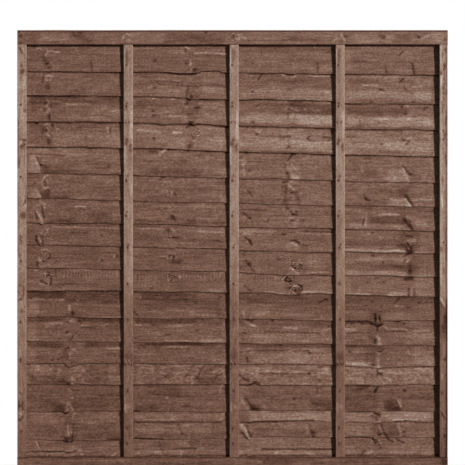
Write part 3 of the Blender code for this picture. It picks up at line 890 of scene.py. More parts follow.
            (1170, 66, 1240, 66, 4, -8), (1250, 68, 1300, 68, 5, 8), (975, 34, 980, 10, 7, -8),
            (1285, 40, 1282, 28, 4, -5), (1527, 70, 1540, 62, 4, 9), (1540, 62, 1565, 77, 4, 7),
            (1425, 68, 1490, 68, 4, 6), (1420, 60, 1520, 60, 3, -5), (1664, 70, 1666, 62, 4, 5),
            (1533, 43, 1535, 7, 11, 8), (1420, 10, 1490, 10, 3, 5),
        ),
        spots=(
            (240, 68, 8, 3, 10), (145, 17, 7, 3.5, -7), (176, 20, 4, 3, -9), (187, 28, 4, 3, -8),
            (235, 14, 4, 3, -7), (855, 86, 10, 3, 6), (1120, 95, 8, 3, -8), (987, 77, 7, 3.5, 8),
            (950, 58, 7, 3, -9), (1240, 56, 8, 4, -10), (1545, 73, 9, 4, -13), (1412, 68, 6, 4, -9),
            (1662, 75, 5, 5, 10), (1513, 13, 8, 5, -9),
        ),
        knots=((178, 76, 6, 6, 2),),
    ),
    14: dict(
        bands=(
            (280, 390, 10, 90, -3.5), (190, 225, 30, 90, -3.5), (760, 870, 10, 90, -3),
            (1380, 1470, 10, 90, 3.5), (1650, 1770, 10, 90, 4), (80, 130, 60, 93, 4), (50, 200, 5, 40, -6),
            (760, 845, 5, 35, -7), (970, 990, 60, 82, 5), (1010, 1030, 60, 82, 7), (1030, 1220, 59, 70, 6),
            (1290, 1330, 57, 88, 5), (1560, 1640, 62, 93, 4), (1650, 1760, 62, 93, 2),
        ),
        roughs=((40, 1770, 0, 100, 11, .8, 5),),
        lines=(
            (231, 40, 237, 26, 7, 9), (258, 44, 267, 52, 4, 5), (274, 25, 284, 12, 5, 6),
            (162, 67, 162, 55, 6, -6), (547, 88, 523, 35, 5, -4), (602, 90, 575, 40, 5, -3.5),
            (660, 85, 630, 35, 5, -4), (749, 95, 705, 20, 6, -5), (792, 90, 750, 20, 6, -4.5),
            (830, 60, 865, 80, 4, 8), (845, 40, 870, 55, 4, -8), (660, 57, 700, 57, 4, 4),
            (820, 58, 840, 58, 3, 5), (1030, 55, 1240, 55, 3, -7), (945, 47, 960, 30, 5, -14),
            (960, 30, 980, 15, 6, -9), (988, 2, 1026, 9, 5, -18), (1280, 30, 1286, 18, 4, -6),
            (1529, 87, 1530, 65, 4, -18), (1534, 72, 1548, 62, 4, -12), (1590, 65, 1650, 64, 5, 5),
            (1710, 52, 1750, 52, 3, -5), (1540, 43, 1560, 7, 5, 6), (1560, 47, 1585, 25, 5, 6),
        ),
        spots=(
            (200, 15, 25, 10, -5), (240, 70, 9, 4, 5), (280, 70, 9, 6, 7), (315, 45, 7, 4, -5),
            (340, 30, 15, 6, -5), (217, 6, 7, 5, -14), (240, -5, 12, 4, -12), (206, 0, 6, 3, -10),
            (231, 8, 4, 3, 6), (870, 68, 5, 5, 7), (860, 55, 6, 4, 8), (845, 62, 6, 4, 6),
            (820, 72, 10, 3, -5), (762, 32, 5, 4, -10), (625, 35, 6, 4, -6), (975, 70, 4, 6, -7),
            (1240, 57, 7, 4, -13), (1287, 90, 8, 4, -6), (980, 23, 10, 5, -5), (1546, 67, 6, 4, -13),
            (1548, 81, 6, 4, 6),
        ),
        knots=((523, 85, 7, 7, 6),),
    ),
    15: dict(
        bands=(
            (940, 1340, 40, 75, -2), (1390, 1770, 40, 60, -3), (500, 880, 40, 62, -2), (235, 250, 10, 40, -6),
            (150, 200, 0, 25, -6), (50, 440, 0, 50, -2), (550, 700, 57, 95, -3), (500, 600, 2, 22, -6),
            (940, 985, 55, 93, 4), (990, 1030, 0, 25, -8), (1247, 1338, 3, 42, -6), (1360, 1530, 2, 95, -3.5),
            (1550, 1600, 3, 43, -4),
        ),
        fans=((930, 952, 980, 45, 6), (1566, 1610, 1634, 42, -9)),
        lines=(
            (216, 86, 228, 76, 4, 11), (211, 36, 211, 10, 4, 11), (216, 36, 235, 10, 4, 12),
            (213, 42, 226, 40, 3, 6), (234, 10, 232, -3, 4, 6), (150, 0, 200, 0, 4, -10),
            (330, 60, 430, 60, 3, -4), (580, 62, 680, 62, 4, -5), (632, 56, 640, 47, 4, 8),
            (870, 95, 863, 84, 4, 5), (863, 84, 862, 67, 4, 5), (950, 48, 984, -3, 5, 10),
            (972, 45, 1000, 10, 9, -7), (1275, 86, 1275, 75, 7, -6), (1448, 85, 1490, 91, 4, -9),
            (1445, 97, 1500, 97, 4, -7), (1530, 93, 1518, 75, 6, -13), (1550, 30, 1562, 2, 5, 4),
            (1615, 43, 1632, 19, 5, 9), (1628, 45, 1639, 27, 3, 6), (1609, 45, 1615, 33, 5, -7),
            (1637, 35, 1640, 22, 4, -6), (1650, 97, 1760, 97, 4, 6), (1710, 67, 1760, 67, 5, -6),
            (1400, 1, 1530, 1, 3, -6),
        ),
        spots=(
            (232, 52, 6, 5, 10), (244, 60, 8, 12, -3), (228, 45, 7, 5, -6), (224, 12, 5, 6, 4),
            (227, 9, 3, 3, -8), (210, 3, 5, 4, -18), (205, -2, 6, 3, -20), (858, 48, 5, 3, 6),
            (853, 47, 4, 4, -6), (570, 17, 8, 5, -5), (715, 18, 15, 6, -4), (503, 1, 9, 3, -16),
            (568, 0, 6, 3, -12), (590, -1, 5, 3, -16), (975, 97, 10, 3, -6), (1008, 8, 18, 8, -5),
            (1177, 47, 5, 4, -8), (1280, 60, 8, 5, 4), (1605, 5, 24, 8, -3), (1615, 13, 5, 4, -12),
            (1623, 55, 6, 3, -7), (1646, 79, 5, 5, -10),
        ),
    ),
    16: dict(
        bands=(
            (205, 255, 15, 90, -3.5), (820, 880, 10, 90, -3.5), (1505, 1560, 10, 90, -4),
            (940, 1340, 5, 35, -2.5), (50, 160, 63, 98, 3), (350, 440, 63, 98, 2), (200, 250, 0, 19, -8),
            (280, 440, 5, 27, -5), (50, 200, 10, 60, -2), (500, 880, 69, 90, 3.5), (500, 880, 20, 60, 3),
            (500, 880, 5, 25, -3), (990, 1340, 63, 100, 6), (950, 980, 63, 95, -2), (1000, 1060, 5, 30, -3),
            (1530, 1770, 65, 99, 7), (1395, 1520, 65, 99, 4.5),
        ),
        fans=((1562, 1603, 1632, 55, -7.5),),
        lines=(
            (244, 97, 232, 80, 5, 10), (213, 60, 218, 20, 5, 9), (224, 50, 231, 25, 4, 7),
            (203, 12, 214, -2, 4, -14), (235, 30, 231, -2, 5, -8), (197, -3, 215, -12, 5, -20),
            (215, -12, 234, -11, 5, -18), (150, 1, 200, 1, 3, -6), (380, 3, 440, 3, 4, -9),
            (520, 70, 700, 70, 4, 3), (500, 62, 865, 62, 4.5, -10), (855, 69, 873, 80, 5, 3),
            (683, 56, 700, 19, 9, -5), (500, 1, 615, 1, 4, -13), (615, 1, 625, -5, 4, -6),
            (1070, 95, 1300, 95, 3, -6), (970, 66, 1300, 67, 3, 4), (950, 57, 1100, 59, 4, -14),
            (1100, 59, 1180, 61, 4, -15), (1180, 61, 1260, 62, 4, -14), (1260, 62, 1310, 59, 4, -5),
            (952, 46, 988, -3, 11, 17), (953, 20, 983, -8, 6, -10), (975, 42, 996, 0, 8, -9),
            (1240, 47, 1255, 5, 7, -6), (1230, 35, 1233, 10, 5, 4), (1600, 67, 1700, 68, 4, 5),
            (1525, 86, 1525, 70, 4, -8), (1523, 100, 1542, 88, 6, -22), (1400, 60, 1600, 59, 3, -5),
            (1600, 60, 1650, 63, 4, -14), (1650, 63, 1720, 59, 4, -12), (1720, 59, 1770, 57, 4, -7),
            (1543, 58, 1565, 3, 6, -6), (1565, 16, 1572, 0, 5, -10), (1535, 55, 1553, 3, 4, 5),
            (1615, 54, 1633, 10, 5, 4), (1627, 55, 1636, 40, 3, -5), (1390, 2, 1520, 2, 4, -10),
        ),
        spots=(
            (700, 19, 12, 4, -5), (985, -9, 9, 3.5, -15), (1257, 17, 12, 10, -8), (1260, 5, 8, 3, -8),
            (1410, 88, 8, 4, -5), (1510, 84, 6, 5, -6), (1540, 13, 12, 6, -12), (1642, 22, 9, 3.5, -11),
            (1646, 5, 10, 4, -8),
        ),
    ),
    17: dict(
        bands=(
            (720, 880, 40, 95, -3.5), (1530, 1570, 45, 95, -3), (40, 460, 76, 100, -3),
            (490, 880, 70, 95, -3), (940, 1340, 70, 95, -1.2), (1390, 1770, 75, 100, -2.5),
            # The dark band across the whole board at 36 to 43 is painted shade in the crevice just above the
            # bottom rail.
            (0, 1820, 36, 43, -12), (40, 240, 42, 55, 2), (270, 340, 50, 90, -2.5), (490, 880, 40, 62, 2),
            (940, 1340, 41, 57, 3), (1390, 1770, 40, 55, 1),
        ),
        lines=(
            (80, 90, 95, 62, 5, 9), (90, 90, 92, 75, 5, -5), (40, 56, 250, 60, 3, -16),
            (265, 60, 320, 60, 4, 3), (405, 47, 430, 60, 4, 7), (610, 62, 680, 66, 3, -8),
            (680, 66, 760, 67, 3.5, -13), (490, 63, 620, 63, 3, -6), (695, 58, 695, 42, 6, 6),
            (770, 63, 800, 63, 4, 5), (603, 90, 610, 67, 4, -5), (1040, 60, 1340, 61, 3, -18),
            (980, 60, 1000, 60, 3, 4), (1513, 100, 1523, 88, 6, -24), (1527, 95, 1547, 66, 4, -8),
            (1534, 95, 1552, 70, 3, 4), (1572, 97, 1598, 85, 5, -15), (1610, 96, 1643, 83, 4.5, -14),
            (1478, 58, 1460, 42, 6, -9), (1390, 65, 1600, 65, 3, -3),
        ),
        spots=(
            (126, 45, 5, 5, 7), (132, 45, 3, 5, -6), (274, 47, 5, 5, 8), (235, 80, 5, 4, 9),
            (515, 52, 7, 6, 5), (590, 48, 10, 4, 4), (722, 77, 5, 4, 6), (1100, 48, 6, 5, 6),
            (1240, 46, 13, 5, 5), (940, 44, 10, 4, 6), (957, 60, 5, 3, -7), (1493, 49, 10, 5, 5),
            (1428, 81, 6, 4, -6),
        ),
    ),
}

# Notches and swellings of the boards' lower edges, in millimetres: start, end, softness of the ends, drop
EDGE_DIPS = {
    1: ((660, 750, 30, 5), (775, 860, 9, -7), (1140, 1185, 12, 4.5), (920, 1220, 40, -4)),
    2: ((725, 770, 8, 4), (260, 480, 40, 3), (1000, 1360, 50, -6)),
    3: (
        (600, 640, 6, 3), (737, 755, 5, 5), (240, 480, 40, -4), (500, 820, 40, -3), (920, 1370, 30, -3),
        (1140, 1360, 40, -6), (1380, 1700, 40, -5),
    ),
    4: ((20, 400, 40, -3), (920, 1220, 40, -3)),
    5: ((920, 1060, 30, 4),),
    6: ((500, 900, 30, 3),),
    7: ((96, 110, 4, 5),),
    8: (
        (93, 114, 4, 5), (715, 726, 3, 3), (1658, 1680, 4, 4), (20, 470, 30, 3), (920, 1240, 40, 5),
        (1380, 1660, 40, -4),
    ),
    9: ((1110, 1215, 30, 4), (93, 120, 5, 3), (500, 680, 40, 4)),
    10: (
        (100, 150, 20, 3), (1100, 1210, 30, 6), (700, 900, 50, -5), (920, 1370, 30, -4), (1380, 1580, 40, -5),
    ),
    11: ((1500, 1550, 15, 8),),
    12: ((1390, 1550, 10, 3), (480, 680, 40, 4), (1520, 1680, 40, 4)),
    13: (
        (206, 230, 4, 8), (206, 250, 8, 5), (206, 270, 16, 3), (1505, 1550, 8, 4), (20, 470, 30, 3),
        (1380, 1780, 30, 5),
    ),
    14: ((205, 240, 12, 4), (1000, 1023, 6, -6), (1500, 1560, 15, 3)),
    15: ((198, 215, 4, 8), (1518, 1545, 5, 8), (500, 900, 30, 3), (920, 1280, 40, -4), (1380, 1520, 30, 4)),
    16: (
        (200, 236, 5, 9), (1513, 1526, 3, 10), (978, 993, 3, 8), (120, 470, 40, 6), (920, 1370, 40, -6),
        (1380, 1680, 40, -4),
    ),
}

# Nail heads on the uprights, in millimetres down from the top and across from the left edge
BATTEN_NAILS = (
    (87, 11), (262, 12), (577, 12), (728, 11), (862, 17), (1016, 16.5), (1168, 18.5), (1471, 17), (1629, 15),
    (1695, 15),
)
NAILS = {
    "left_stile": ((255, 15), (562, 15), (919, 15), (1178, 14), (1337, 14), (1645, 16)),
    "batten_1": BATTEN_NAILS,
    "batten_2": BATTEN_NAILS,
    "batten_3": BATTEN_NAILS,
    "right_stile": ((105, 17), (402, 16), (840, 17), (1220, 16), (1630, 17)),
}

# The three battens were sawn from one pattern and carry the same marks
BATTEN_MARKS = dict(
    bands=((1310, 1365, 3, 37, -6),),
    lines=(
        (25, 14, 70, 14, 12, -5), (20, 4, 90, 4, 5, 5), (430, 4, 510, 4, 5, 5), (286, 32, 397, 32, 8, 5),
        (424, 32, 435, 26, 5, -10), (1340, 8, 1360, 16, 4, 8), (1342, 24, 1356, 30, 4, 7),
        (1358, 4, 1358, 34, 4, -9), (1526, 8, 1560, 8, 6, 5),
    ),
    spots=(
        *((down, across, 8, 4.5, -6) for down, across in BATTEN_NAILS), (248, 13, 4, 4, -10),
        (331, 8, 4, 4, -10), (331, 24, 4, 4, -10), (558, 17, 4, 4, -8), (710, 15, 4, 4, -8),
        (851, 21, 4, 4, -8), (405, 14, 7, 6, -9), (420, 9, 7, 6, -9), (448, 30, 12, 8, -5),
        (1538, 22, 9, 6, 5),
    ),
    knots=((1330, 20, 9, 4, 3),),
)
LEFT_STILE_MARKS = dict(
    bands=((130, 190, 0, 39, 3), (286, 380, 17, 34, 3)),
    lines=(
        (15, 11, 38, 20, 5, -10), (320, 2, 520, 2, 6, -8), (401, 10, 407, 37, 4, -10),
        (433, 17, 425, 34, 6, -12), (407, 28, 424, 24, 4, -8), (660, 36, 681, 27, 5, -10),
        (810, 13, 842, 14, 7, -8), (1030, 27, 1059, 27, 5, -7), (1059, 27, 1082, 16, 5, -8),
        (1082, 16, 1086, 0, 5, -9), (1044, 4, 1064, 12, 5, -6), (1514, 7, 1544, 5, 4, -9),
        (1516, 22, 1552, 23, 4, -9), (1560, 5, 1574, 22, 4, 6), (1592, 1, 1594, 13, 5, -10),
        (1594, 13, 1578, 26, 5, -10),
    ),
    spots=(
        *((down, across, 8, 4.5, -4) for down, across in NAILS["left_stile"]), (89, 17, 7, 5, -9),
        (114, 21, 10, 8, -13), (140, 16, 20, 8, -4), (282, 32, 7, 5, -6), (418, 14, 6, 5, 5),
        (436, 22, 9, 8, -5), (500, 9, 20, 5, -6), (685, 34, 8, 4, 6), (724, 26, 11, 11, -10),
        (872, 6, 5, 4, -6), (893, 12.5, 5, 4, -6), (1025, 12.5, 6, 4, -7), (1130, 17, 9, 5, -6),
        (1344, 15, 8, 5, -5), (1479, 12.5, 6, 4, -8), (1532, 14, 8, 5, -7),
    ),
    knots=((1305, 22, 8, 7, 3),),
)
RIGHT_STILE_MARKS = dict(
    bands=((0, 500, 2, 12, 5), (500, 1000, 2, 12, 4), (1100, 1250, 0, 35, -5)),
    lines=(
        (89, 21, 273, 19, 3, -6), (0, 28.5, 1750, 28.5, 3, -9), (130, 10, 170, 8, 4, 7),
        (240, 9, 290, 12, 4, -7), (310, 28.5, 340, 26, 5, -11), (360, 14, 386, 23, 4, -6),
        (386, 23, 410, 16, 4, -5), (470, 28.5, 510, 28.5, 5, -10), (640, 8, 690, 13, 4, 6),
        (780, 28.5, 910, 28.5, 4, -8), (1080, 32.5, 1750, 32.5, 6, -10), (1076, 3, 1108, 22, 5, 9),
        (1094, 2, 1120, 16, 4, -7), (1560, 8, 1585, 20, 5, -9),
    ),
    spots=(
        (23, 25, 8, 5, -10), (42, 12, 12, 4, -7), (91, 22, 10, 6, -11), (121, 6, 8, 6, -10),
        *((down, 18, 4, 3, -7) for down in (145, 185, 207, 231, 257)), (580, 12, 16, 5, -5),
        (870, 7, 9, 5, -8), (960, 19, 14, 6, -5), (1160, 30, 24, 9, -11), (1200, 14, 14, 5, -6),
        (1337, 23, 7, 5, -10), (1480, 11, 8, 6, -8), (1410, 10, 12, 5, 5), (1660, 22, 10, 6, -6),
    ),
)
TOP_RAIL_MARKS = dict(
    bands=(
        (10, 80, 3, 46, -3), (100, 220, 15, 46, 3.5), (330, 420, 5, 48, 3), (490, 620, 6, 46, 3),
        (630, 880, 5, 50, -3.5), (990, 1120, 6, 30, 3), (1420, 1530, 6, 44, 2.5), (1600, 1670, 8, 46, -3.5),
        (1760, 1820, 6, 48, 4.5),
    ),
    lines=(
        (240, 50, 305, 14, 24, -3.5), (90, 20, 140, 32, 3, 4), (120, 16, 200, 22, 3, 4),
        (445, 20, 465, 44, 5, 7), (469, 44, 488, 34, 4, 7), (906, 22, 922, 38, 4, -6),
        (940, 40, 970, 24, 5, 5), (1340, 10, 1360, 30, 6, 8), (1376, 44, 1390, 16, 6, 8),
        (1538, 39, 1554, 30, 7, -5), (1570, 28, 1590, 39, 7, 3.5), (1692, 42, 1708, 32, 7, -6),
        (1678, 17, 1694, 26, 5, 3.5), (1722, 26, 1746, 38, 7, 4), (980, 16, 1280, 19, 4, -4),
    ),
    spots=(
        (12, 36, 6, 5, -7), (12, 6, 6, 5, -7), (6, 53, 6, 4, -10), (245, 36, 24, 6, -3), (478, 16, 12, 6, 5),
        (750, 32, 40, 8, -3), (936, 20, 9, 6, 6), (1170, 26, 16, 6, -4), (1395, 34, 9, 5, -7),
        (1554, 30, 9, 8, -6), (1575, 12, 14, 5, 4), (1706, 31, 9, 7, -5), (1730, 46, 14, 4, -5),
        (267, 52, 8, 4, -8), (802, 52, 8, 4, -10), (1816, 19, 7, 8, -7),
    ),
    knots=(
        (468, 34, 15, 3, 3), (919, 30, 17, 5, 3), (1149, 36, 10, 8, 3), (1365, 34, 14, 2, 3),
        (1552, 32, 12, 6, 2), (1704, 32, 13, 7, 2),
    ),
)
BOTTOM_RAIL_MARKS = dict(
    bands=((150, 340, 20, 48, -3), (580, 820, 8, 36, -3), (1030, 1180, 24, 50, -4), (1430, 1600, 10, 40, -3)),
    lines=(
        # The first line, along the rail's top edge, is painted shade where board 17 goes behind the rail.
        (0, 53, 1820, 53, 5, -5), (200, 39, 450, 41, 4, 4), (950, 16, 1280, 19, 4, 4),
        (1500, 30, 1760, 33, 4, 3),
    ),
    # The first spot, at the rail's right end, is painted shadow in the corner by the foot of the right stile.
    spots=((1816, 36, 16, 16, -10), (1030, 36, 10, 4, 5)),
    knots=((710, 26, 8, 6, 2), (466, 34, 12, 4, 4), (1050, 36, 12, 6, 3)),
)

# Tones of the laths before their marks. Down is the share from an upright's top, along the share from a
# rail's left end, and across the share from an upright's left edge or a rail's lower edge


def batten_tone(down, across):
    """Bleached in the upper half, dark and damp at the foot, paler at both edges."""
    edges = 0.025 * (1 - step(across, 0.05, 0.2)) + 0.02 * step(across, 0.7, 0.85)
    return np.interp(down, (0, 0.33, 0.55, 0.66, 1), (0.57, 0.58, 0.55, 0.475, 0.44)) + edges


def left_stile_tone(down, across):
    return np.interp(down, (0, 0.1, 0.6, 0.75, 0.93, 1), (0.585, 0.585, 0.565, 0.52, 0.46, 0.38)) + 0 * across


def right_stile_tone(down, across):
    return np.interp(down, (0, 0.6, 0.66, 0.92, 1), (0.61, 0.60, 0.50, 0.46, 0.38)) + 0 * across


def top_rail_tone(along, across):
    """Weathered darker at the left, and almost black in the joint under the cap: dirt there, and painted shade
    under the cap's edge.
    """
    return 0.44 + 0.08 * along - 0.18 * step(across, 0.965, 0.99)


def bottom_rail_tone(along, across):
    return 0.415 + 0.02 * along + 0 * across


def cap_tone(along, across):
    return 0.50 + 0 * along * across


def side_to_side(share):
    """The boards are a little paler from the left bay to the third one."""
    return 0.04 * (step(share, 0.1, 0.65) - 0.6)


# Materials


def srgb(red, green, blue):
    def channel(value):
        value = value / 255
        return value / 12.92 if value <= 0.04045 else ((value + 0.055) / 1.055) ** 2.4

    return (channel(red), channel(green), channel(blue), 1.0)


# Colours of the stained wood from its darkest to its most bleached, keyed by the red level
STAIN = (
    (0.00, (10, 5, 3)),
    (0.14, (36, 20, 14)),
    (0.27, (69, 45, 35)),
    (0.38, (97, 69, 56)),
    (0.49, (125, 94, 79)),
    (0.55, (140, 111, 95)),
    (0.59, (150, 124, 108)),
    (0.70, (178, 158, 144)),
    (0.85, (217, 204, 194)),
)
RUST = ((0.2, (38, 22, 16)), (0.5, (62, 41, 32)), (0.8, (92, 68, 56)))

# The wood's fields of noise: steps a metre along, across and in depth, detail, roughness, share of the relief
FIELDS = (
    ((7, 95, 95), 4, 0.6, 0.5),  # broad streaks
    ((11, 250, 250), 3, 0.6, 0.45),  # fine lines
    ((105, 170, 170), 3, 0.7, 0.3),  # mottling
    ((320, 520, 520), 2, 0.7, 0.35),  # fuzz
    ((120, 14, 14), 2, 0.5, 0.25),  # the saw blade's stripes
    ((14, 38, 38), 3, 0.6, 0),  # stained patches
)
BLADE_SHARE = 0.035
PATCH_SHARE = 0.20
WOOD_RELIEF = 1.2 * MM
WOOD_GLOSS = 0.08
RING_SPACE = 0.55  # between a knot's rings, as a share of its size
RING_WAVE = 1.5
NAIL_RELIEF = 0.3 * MM
NAIL_GLOSS = 0.15


class Graph:
    """Short calls for building a material's nodes."""

    def __init__(self, name):
        self.material = bpy.data.materials.new(name)
        self.material.use_nodes = True
        self.nodes = self.material.node_tree.nodes
        self.links = self.material.node_tree.links
        self.shader = self.nodes["Principled BSDF"]

    def put(self, socket, value):
        if isinstance(value, bpy.types.NodeSocket):
            self.links.new(value, socket)
        else:
            socket.default_value = value

    def shade(self, **inputs):
        """Sets inputs of the shader. In their names, _ stands for a space."""
        for key, value in inputs.items():
            self.put(self.shader.inputs[key.replace("_", " ")], value)

    def math(self, operation, first, second=0.0, third=0.0):
        node = self.nodes.new("ShaderNodeMath")
        node.operation = operation
        for socket, value in zip(node.inputs, (first, second, third)):
            self.put(socket, value)
        return node.outputs[0]

    def attribute(self, name, output="Fac"):
        node = self.nodes.new("ShaderNodeAttribute")
        node.attribute_name = name
        return node.outputs[output]

    def stretched(self, vector, scale):
        node = self.nodes.new("ShaderNodeVectorMath")
        node.operation = "MULTIPLY"
        self.put(node.inputs[0], vector)
        node.inputs[1].default_value = scale
        return node.outputs[0]

    def noise(self, vector, scale, detail, roughness):
        """Noise about zero, from about -0.5 to 0.5, with scale steps a metre."""
        node = self.nodes.new("ShaderNodeTexNoise")
        self.put(node.inputs["Vector"], self.stretched(vector, scale))
        node.inputs["Scale"].default_value = 1.0
        node.inputs["Detail"].default_value = detail
        node.inputs["Roughness"].default_value = roughness
        return self.math("SUBTRACT", node.outputs[0], 0.5)

    def fade(self, value, low, high):
        """1 below low, 0 above high."""
        node = self.nodes.new("ShaderNodeMapRange")
        node.interpolation_type = "SMOOTHSTEP"
        numbers = {"Value": value, "From Min": low, "From Max": high, "To Min": 1.0, "To Max": 0.0}
        for key, number in numbers.items():
            self.put(node.inputs[key], number)
        return node.outputs[0]

    def ramp(self, value, stops):
        node = self.nodes.new("ShaderNodeValToRGB")
        self.put(node.inputs[0], value)
        elements = node.color_ramp.elements
        while len(elements) > 1:
            elements.remove(elements[-1])
        elements[0].position = stops[0][0]
        elements[0].color = srgb(*stops[0][1])
        for position, colour in stops[1:]:
            elements.new(position).color = srgb(*colour)
        return node.outputs[0]

    def bump(self, height, distance):
        node = self.nodes.new("ShaderNodeBump")
        node.inputs["Distance"].default_value = distance
        self.put(node.inputs["Height"], height)
        return node.outputs[0]


def sawn_wood(name, *shares):
    """Sawn stained softwood. The shares set broad streaks, fine lines, mottling and fuzz along the grain."""
    g = Graph(name)
    wood = g.attribute("wood", "Vector")
    tone = g.attribute("tone")
    height = 0.0
    fields = [g.noise(wood, scale, detail, roughness) for scale, detail, roughness, _ in FIELDS]
    for field, share, (*_, relief) in zip(fields, (*shares, BLADE_SHARE, PATCH_SHARE), FIELDS):
        tone = g.math("MULTIPLY_ADD", field, share, tone)
        height = g.math("MULTIPLY_ADD", field, relief, height)
    bent = g.math("MULTIPLY_ADD", g.noise(wood, (45, 60, 60), 2, 0.6), RING_WAVE, g.attribute("knot"))
    rings = g.math("COSINE", g.math("MULTIPLY", bent, 2 * math.pi / RING_SPACE))
    tone = g.math("SUBTRACT", tone, g.math("MULTIPLY", rings, g.attribute("curl")))
    rough = g.math("MULTIPLY_ADD", fields[0], 0.2, 0.86)
    g.shade(Base_Color=g.ramp(tone, STAIN), Normal=g.bump(height, WOOD_RELIEF), Roughness=rough)
    g.shade(Specular_IOR_Level=WOOD_GLOSS)
    return g.material


def nail_metal():
    g = Graph("nail_rust")
    place = g.nodes.new("ShaderNodeTexCoord").outputs["Object"]
    speck = g.noise(place, (900, 900, 900), 3, 0.6)
    rough = g.math("MULTIPLY_ADD", speck, 0.3, 0.8)
    colour = g.ramp(g.math("ADD", speck, 0.5), RUST)
    g.shade(Base_Color=colour, Normal=g.bump(speck, NAIL_RELIEF), Roughness=rough)
    g.shade(Specular_IOR_Level=NAIL_GLOSS)
    return g.material


# The pieces

boards_wood = sawn_wood("boards_wood", 0.18, 0.20, 0.47, 0.22)
frame_wood = sawn_wood("frame_wood", 0.16, 0.16, 0.40, 0.18)
batten_wood = sawn_wood("batten_wood", 0.13, 0.10, 0.34, 0.18)
cap_wood = sawn_wood("cap_wood", 0.14, 0.14, 0.16, 0.12)
nail_rust = nail_metal()

edge_above = None
for number in range(1, BOARD_COUNT + 1):
    edge_above = make_board(number, edge_above, boards_wood)

LATHS = (
    ("top_rail", "frame", frame_wood, top_rail_tone, TOP_RAIL_MARKS),
    ("bottom_rail", "frame", frame_wood, bottom_rail_tone, BOTTOM_RAIL_MARKS),
    ("left_stile", "frame", frame_wood, left_stile_tone, LEFT_STILE_MARKS),
    ("right_stile", "frame", frame_wood, right_stile_tone, RIGHT_STILE_MARKS),
    *((f"batten_{n}", "battens", batten_wood, batten_tone, BATTEN_MARKS) for n in (1, 2, 3)),
)
for index, (name, slot, material, tone_of, marks) in enumerate(LATHS, 1):
    make_lath(f"front_{name}", material, FRONT_STATIONS, tone_of, marks, index)
    make_lath(f"rear_{name}", material, REAR_STATIONS, tone_of, {}, index + 20)
make_lath("cap_strip", cap_wood, CAP_STATIONS, cap_tone, {}, 11)
make_nails("front", nail_rust)
make_nails("rear", nail_rust)


# Stage, light and camera

PHOTO_PIXELS = 465
PHOTO_METRES_A_PIXEL = PANEL_WIDTH / 430.7
PANEL_TOP_ROW = 29.97
CAMERA_DISTANCE = 9.5
SENSOR_WIDTH = 36  # millimetres

# Name, the direction that the light comes from, strength, and angle in degrees
SUNS = (
    ("key", (1.05, -1.0, 0.37), 4.02, 6),
    ("back_fill", (-0.9, 0.9, 0.6), 3.6, 20),
)
AMBIENT = 0.028
FLOOR_REACH = 6.0
FLOOR_DROP = 0.5 * MM
FLOOR_GREY = 0.36
FLOOR_ROUGHNESS = 0.9
SHADOW_ENDS = (0.02, 0.3)  # metres from the panel
SHADOW_SHARE = 0.35


def add_sun(name, direction, strength, angle):
    data = bpy.data.lights.new(name, "SUN")
    data.energy = strength
    data.angle = math.radians(angle)
    sun = bpy.data.objects.new(name, data)
    sun.rotation_euler = Vector(direction).to_track_quat("Z", "Y").to_euler()
    bpy.context.scene.collection.objects.link(sun)


def background_rays(tree):
    """1 for rays from the camera, in reflections and through clear things, and 0 for light on surfaces."""
    path = tree.nodes.new("ShaderNodeLightPath")
    seen = path.outputs["Is Camera Ray"]
    for name in ("Is Glossy Ray", "Is Transmission Ray"):
        either = tree.nodes.new("ShaderNodeMath")
        either.operation = "MAXIMUM"
        tree.links.new(seen, either.inputs[0])
        tree.links.new(path.outputs[name], either.inputs[1])
        seen = either.outputs[0]
    return seen


def light_world(ambient):
    """White to the camera and to reflections, a low even light to everything else."""
    world = bpy.data.worlds.new("studio")
    bpy.context.scene.world = world
    world.use_nodes = True
    nodes = world.node_tree.nodes
    links = world.node_tree.links
    background = nodes["Background"]
    strength = nodes.new("ShaderNodeMapRange")
    strength.inputs["To Min"].default_value = ambient
    strength.inputs["To Max"].default_value = 1.0
    links.new(background_rays(world.node_tree), strength.inputs["Value"])
    links.new(strength.outputs[0], background.inputs["Strength"])
    background.inputs["Color"].default_value = (1, 1, 1, 1)


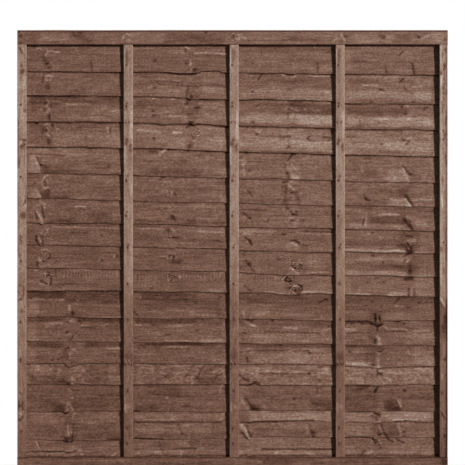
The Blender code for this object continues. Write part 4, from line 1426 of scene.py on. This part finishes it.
def add_floor():
    """A pale floor at the panel's foot, with a shadow close to the panel that fades to white further out."""
    mesh = bpy.data.meshes.new("floor")
    cx = PANEL_WIDTH / 2
    corners = [(cx + i * FLOOR_REACH, j * FLOOR_REACH) for i, j in ((-1, -1), (1, -1), (1, 1), (-1, 1))]
    mesh.from_pydata([(x, y, PANEL_FOOT - FLOOR_DROP) for x, y in corners], [], [(0, 1, 2, 3)])
    floor = bpy.data.objects.new("floor", mesh)
    bpy.context.scene.collection.objects.link(floor)
    g = Graph("floor_pale")
    place = g.nodes.new("ShaderNodeNewGeometry").outputs["Position"]
    split = g.nodes.new("ShaderNodeSeparateXYZ")
    g.put(split.inputs[0], place)
    off_middle = g.math("ABSOLUTE", g.math("SUBTRACT", split.outputs[0], cx))
    off_x = g.math("MAXIMUM", g.math("SUBTRACT", off_middle, cx), 0.0)
    off_y = split.outputs[1]
    squares = g.math("ADD", g.math("MULTIPLY", off_x, off_x), g.math("POWER", off_y, 2.0))
    close = g.math("MULTIPLY", g.fade(g.math("SQRT", squares), *SHADOW_ENDS), SHADOW_SHARE)
    g.shade(Base_Color=(FLOOR_GREY, FLOOR_GREY, FLOOR_GREY, 1), Roughness=FLOOR_ROUGHNESS)
    white = g.nodes.new("ShaderNodeEmission")
    seen = background_rays(g.material.node_tree)
    share = g.math("MULTIPLY", seen, g.math("SUBTRACT", 1.0, close))
    mix = g.nodes.new("ShaderNodeMixShader")
    g.put(mix.inputs[0], share)
    g.links.new(g.shader.outputs[0], mix.inputs[1])
    g.links.new(white.outputs[0], mix.inputs[2])
    g.links.new(mix.outputs[0], g.nodes["Material Output"].inputs["Surface"])
    mesh.materials.append(g.material)


def add_camera():
    """Straight in front, level, with the photograph's frame on the front of the panel."""
    frame_width = PHOTO_PIXELS * PHOTO_METRES_A_PIXEL
    data = bpy.data.cameras.new("camera")
    data.sensor_width = SENSOR_WIDTH
    data.lens = data.sensor_width * CAMERA_DISTANCE / frame_width
    data.clip_end = 100
    camera = bpy.data.objects.new("camera", data)
    height = PANEL_TOP - (PHOTO_PIXELS / 2 - PANEL_TOP_ROW) * PHOTO_METRES_A_PIXEL
    camera.location = (PANEL_WIDTH / 2, FRONT_PLANE - CAMERA_DISTANCE, height)
    camera.rotation_euler = (math.radians(90), 0, 0)
    bpy.context.scene.collection.objects.link(camera)
    bpy.context.scene.camera = camera


light_world(AMBIENT)
for sun in SUNS:
    add_sun(*sun)
add_floor()
add_camera()
bpy.context.scene.view_settings.view_transform = "Standard"
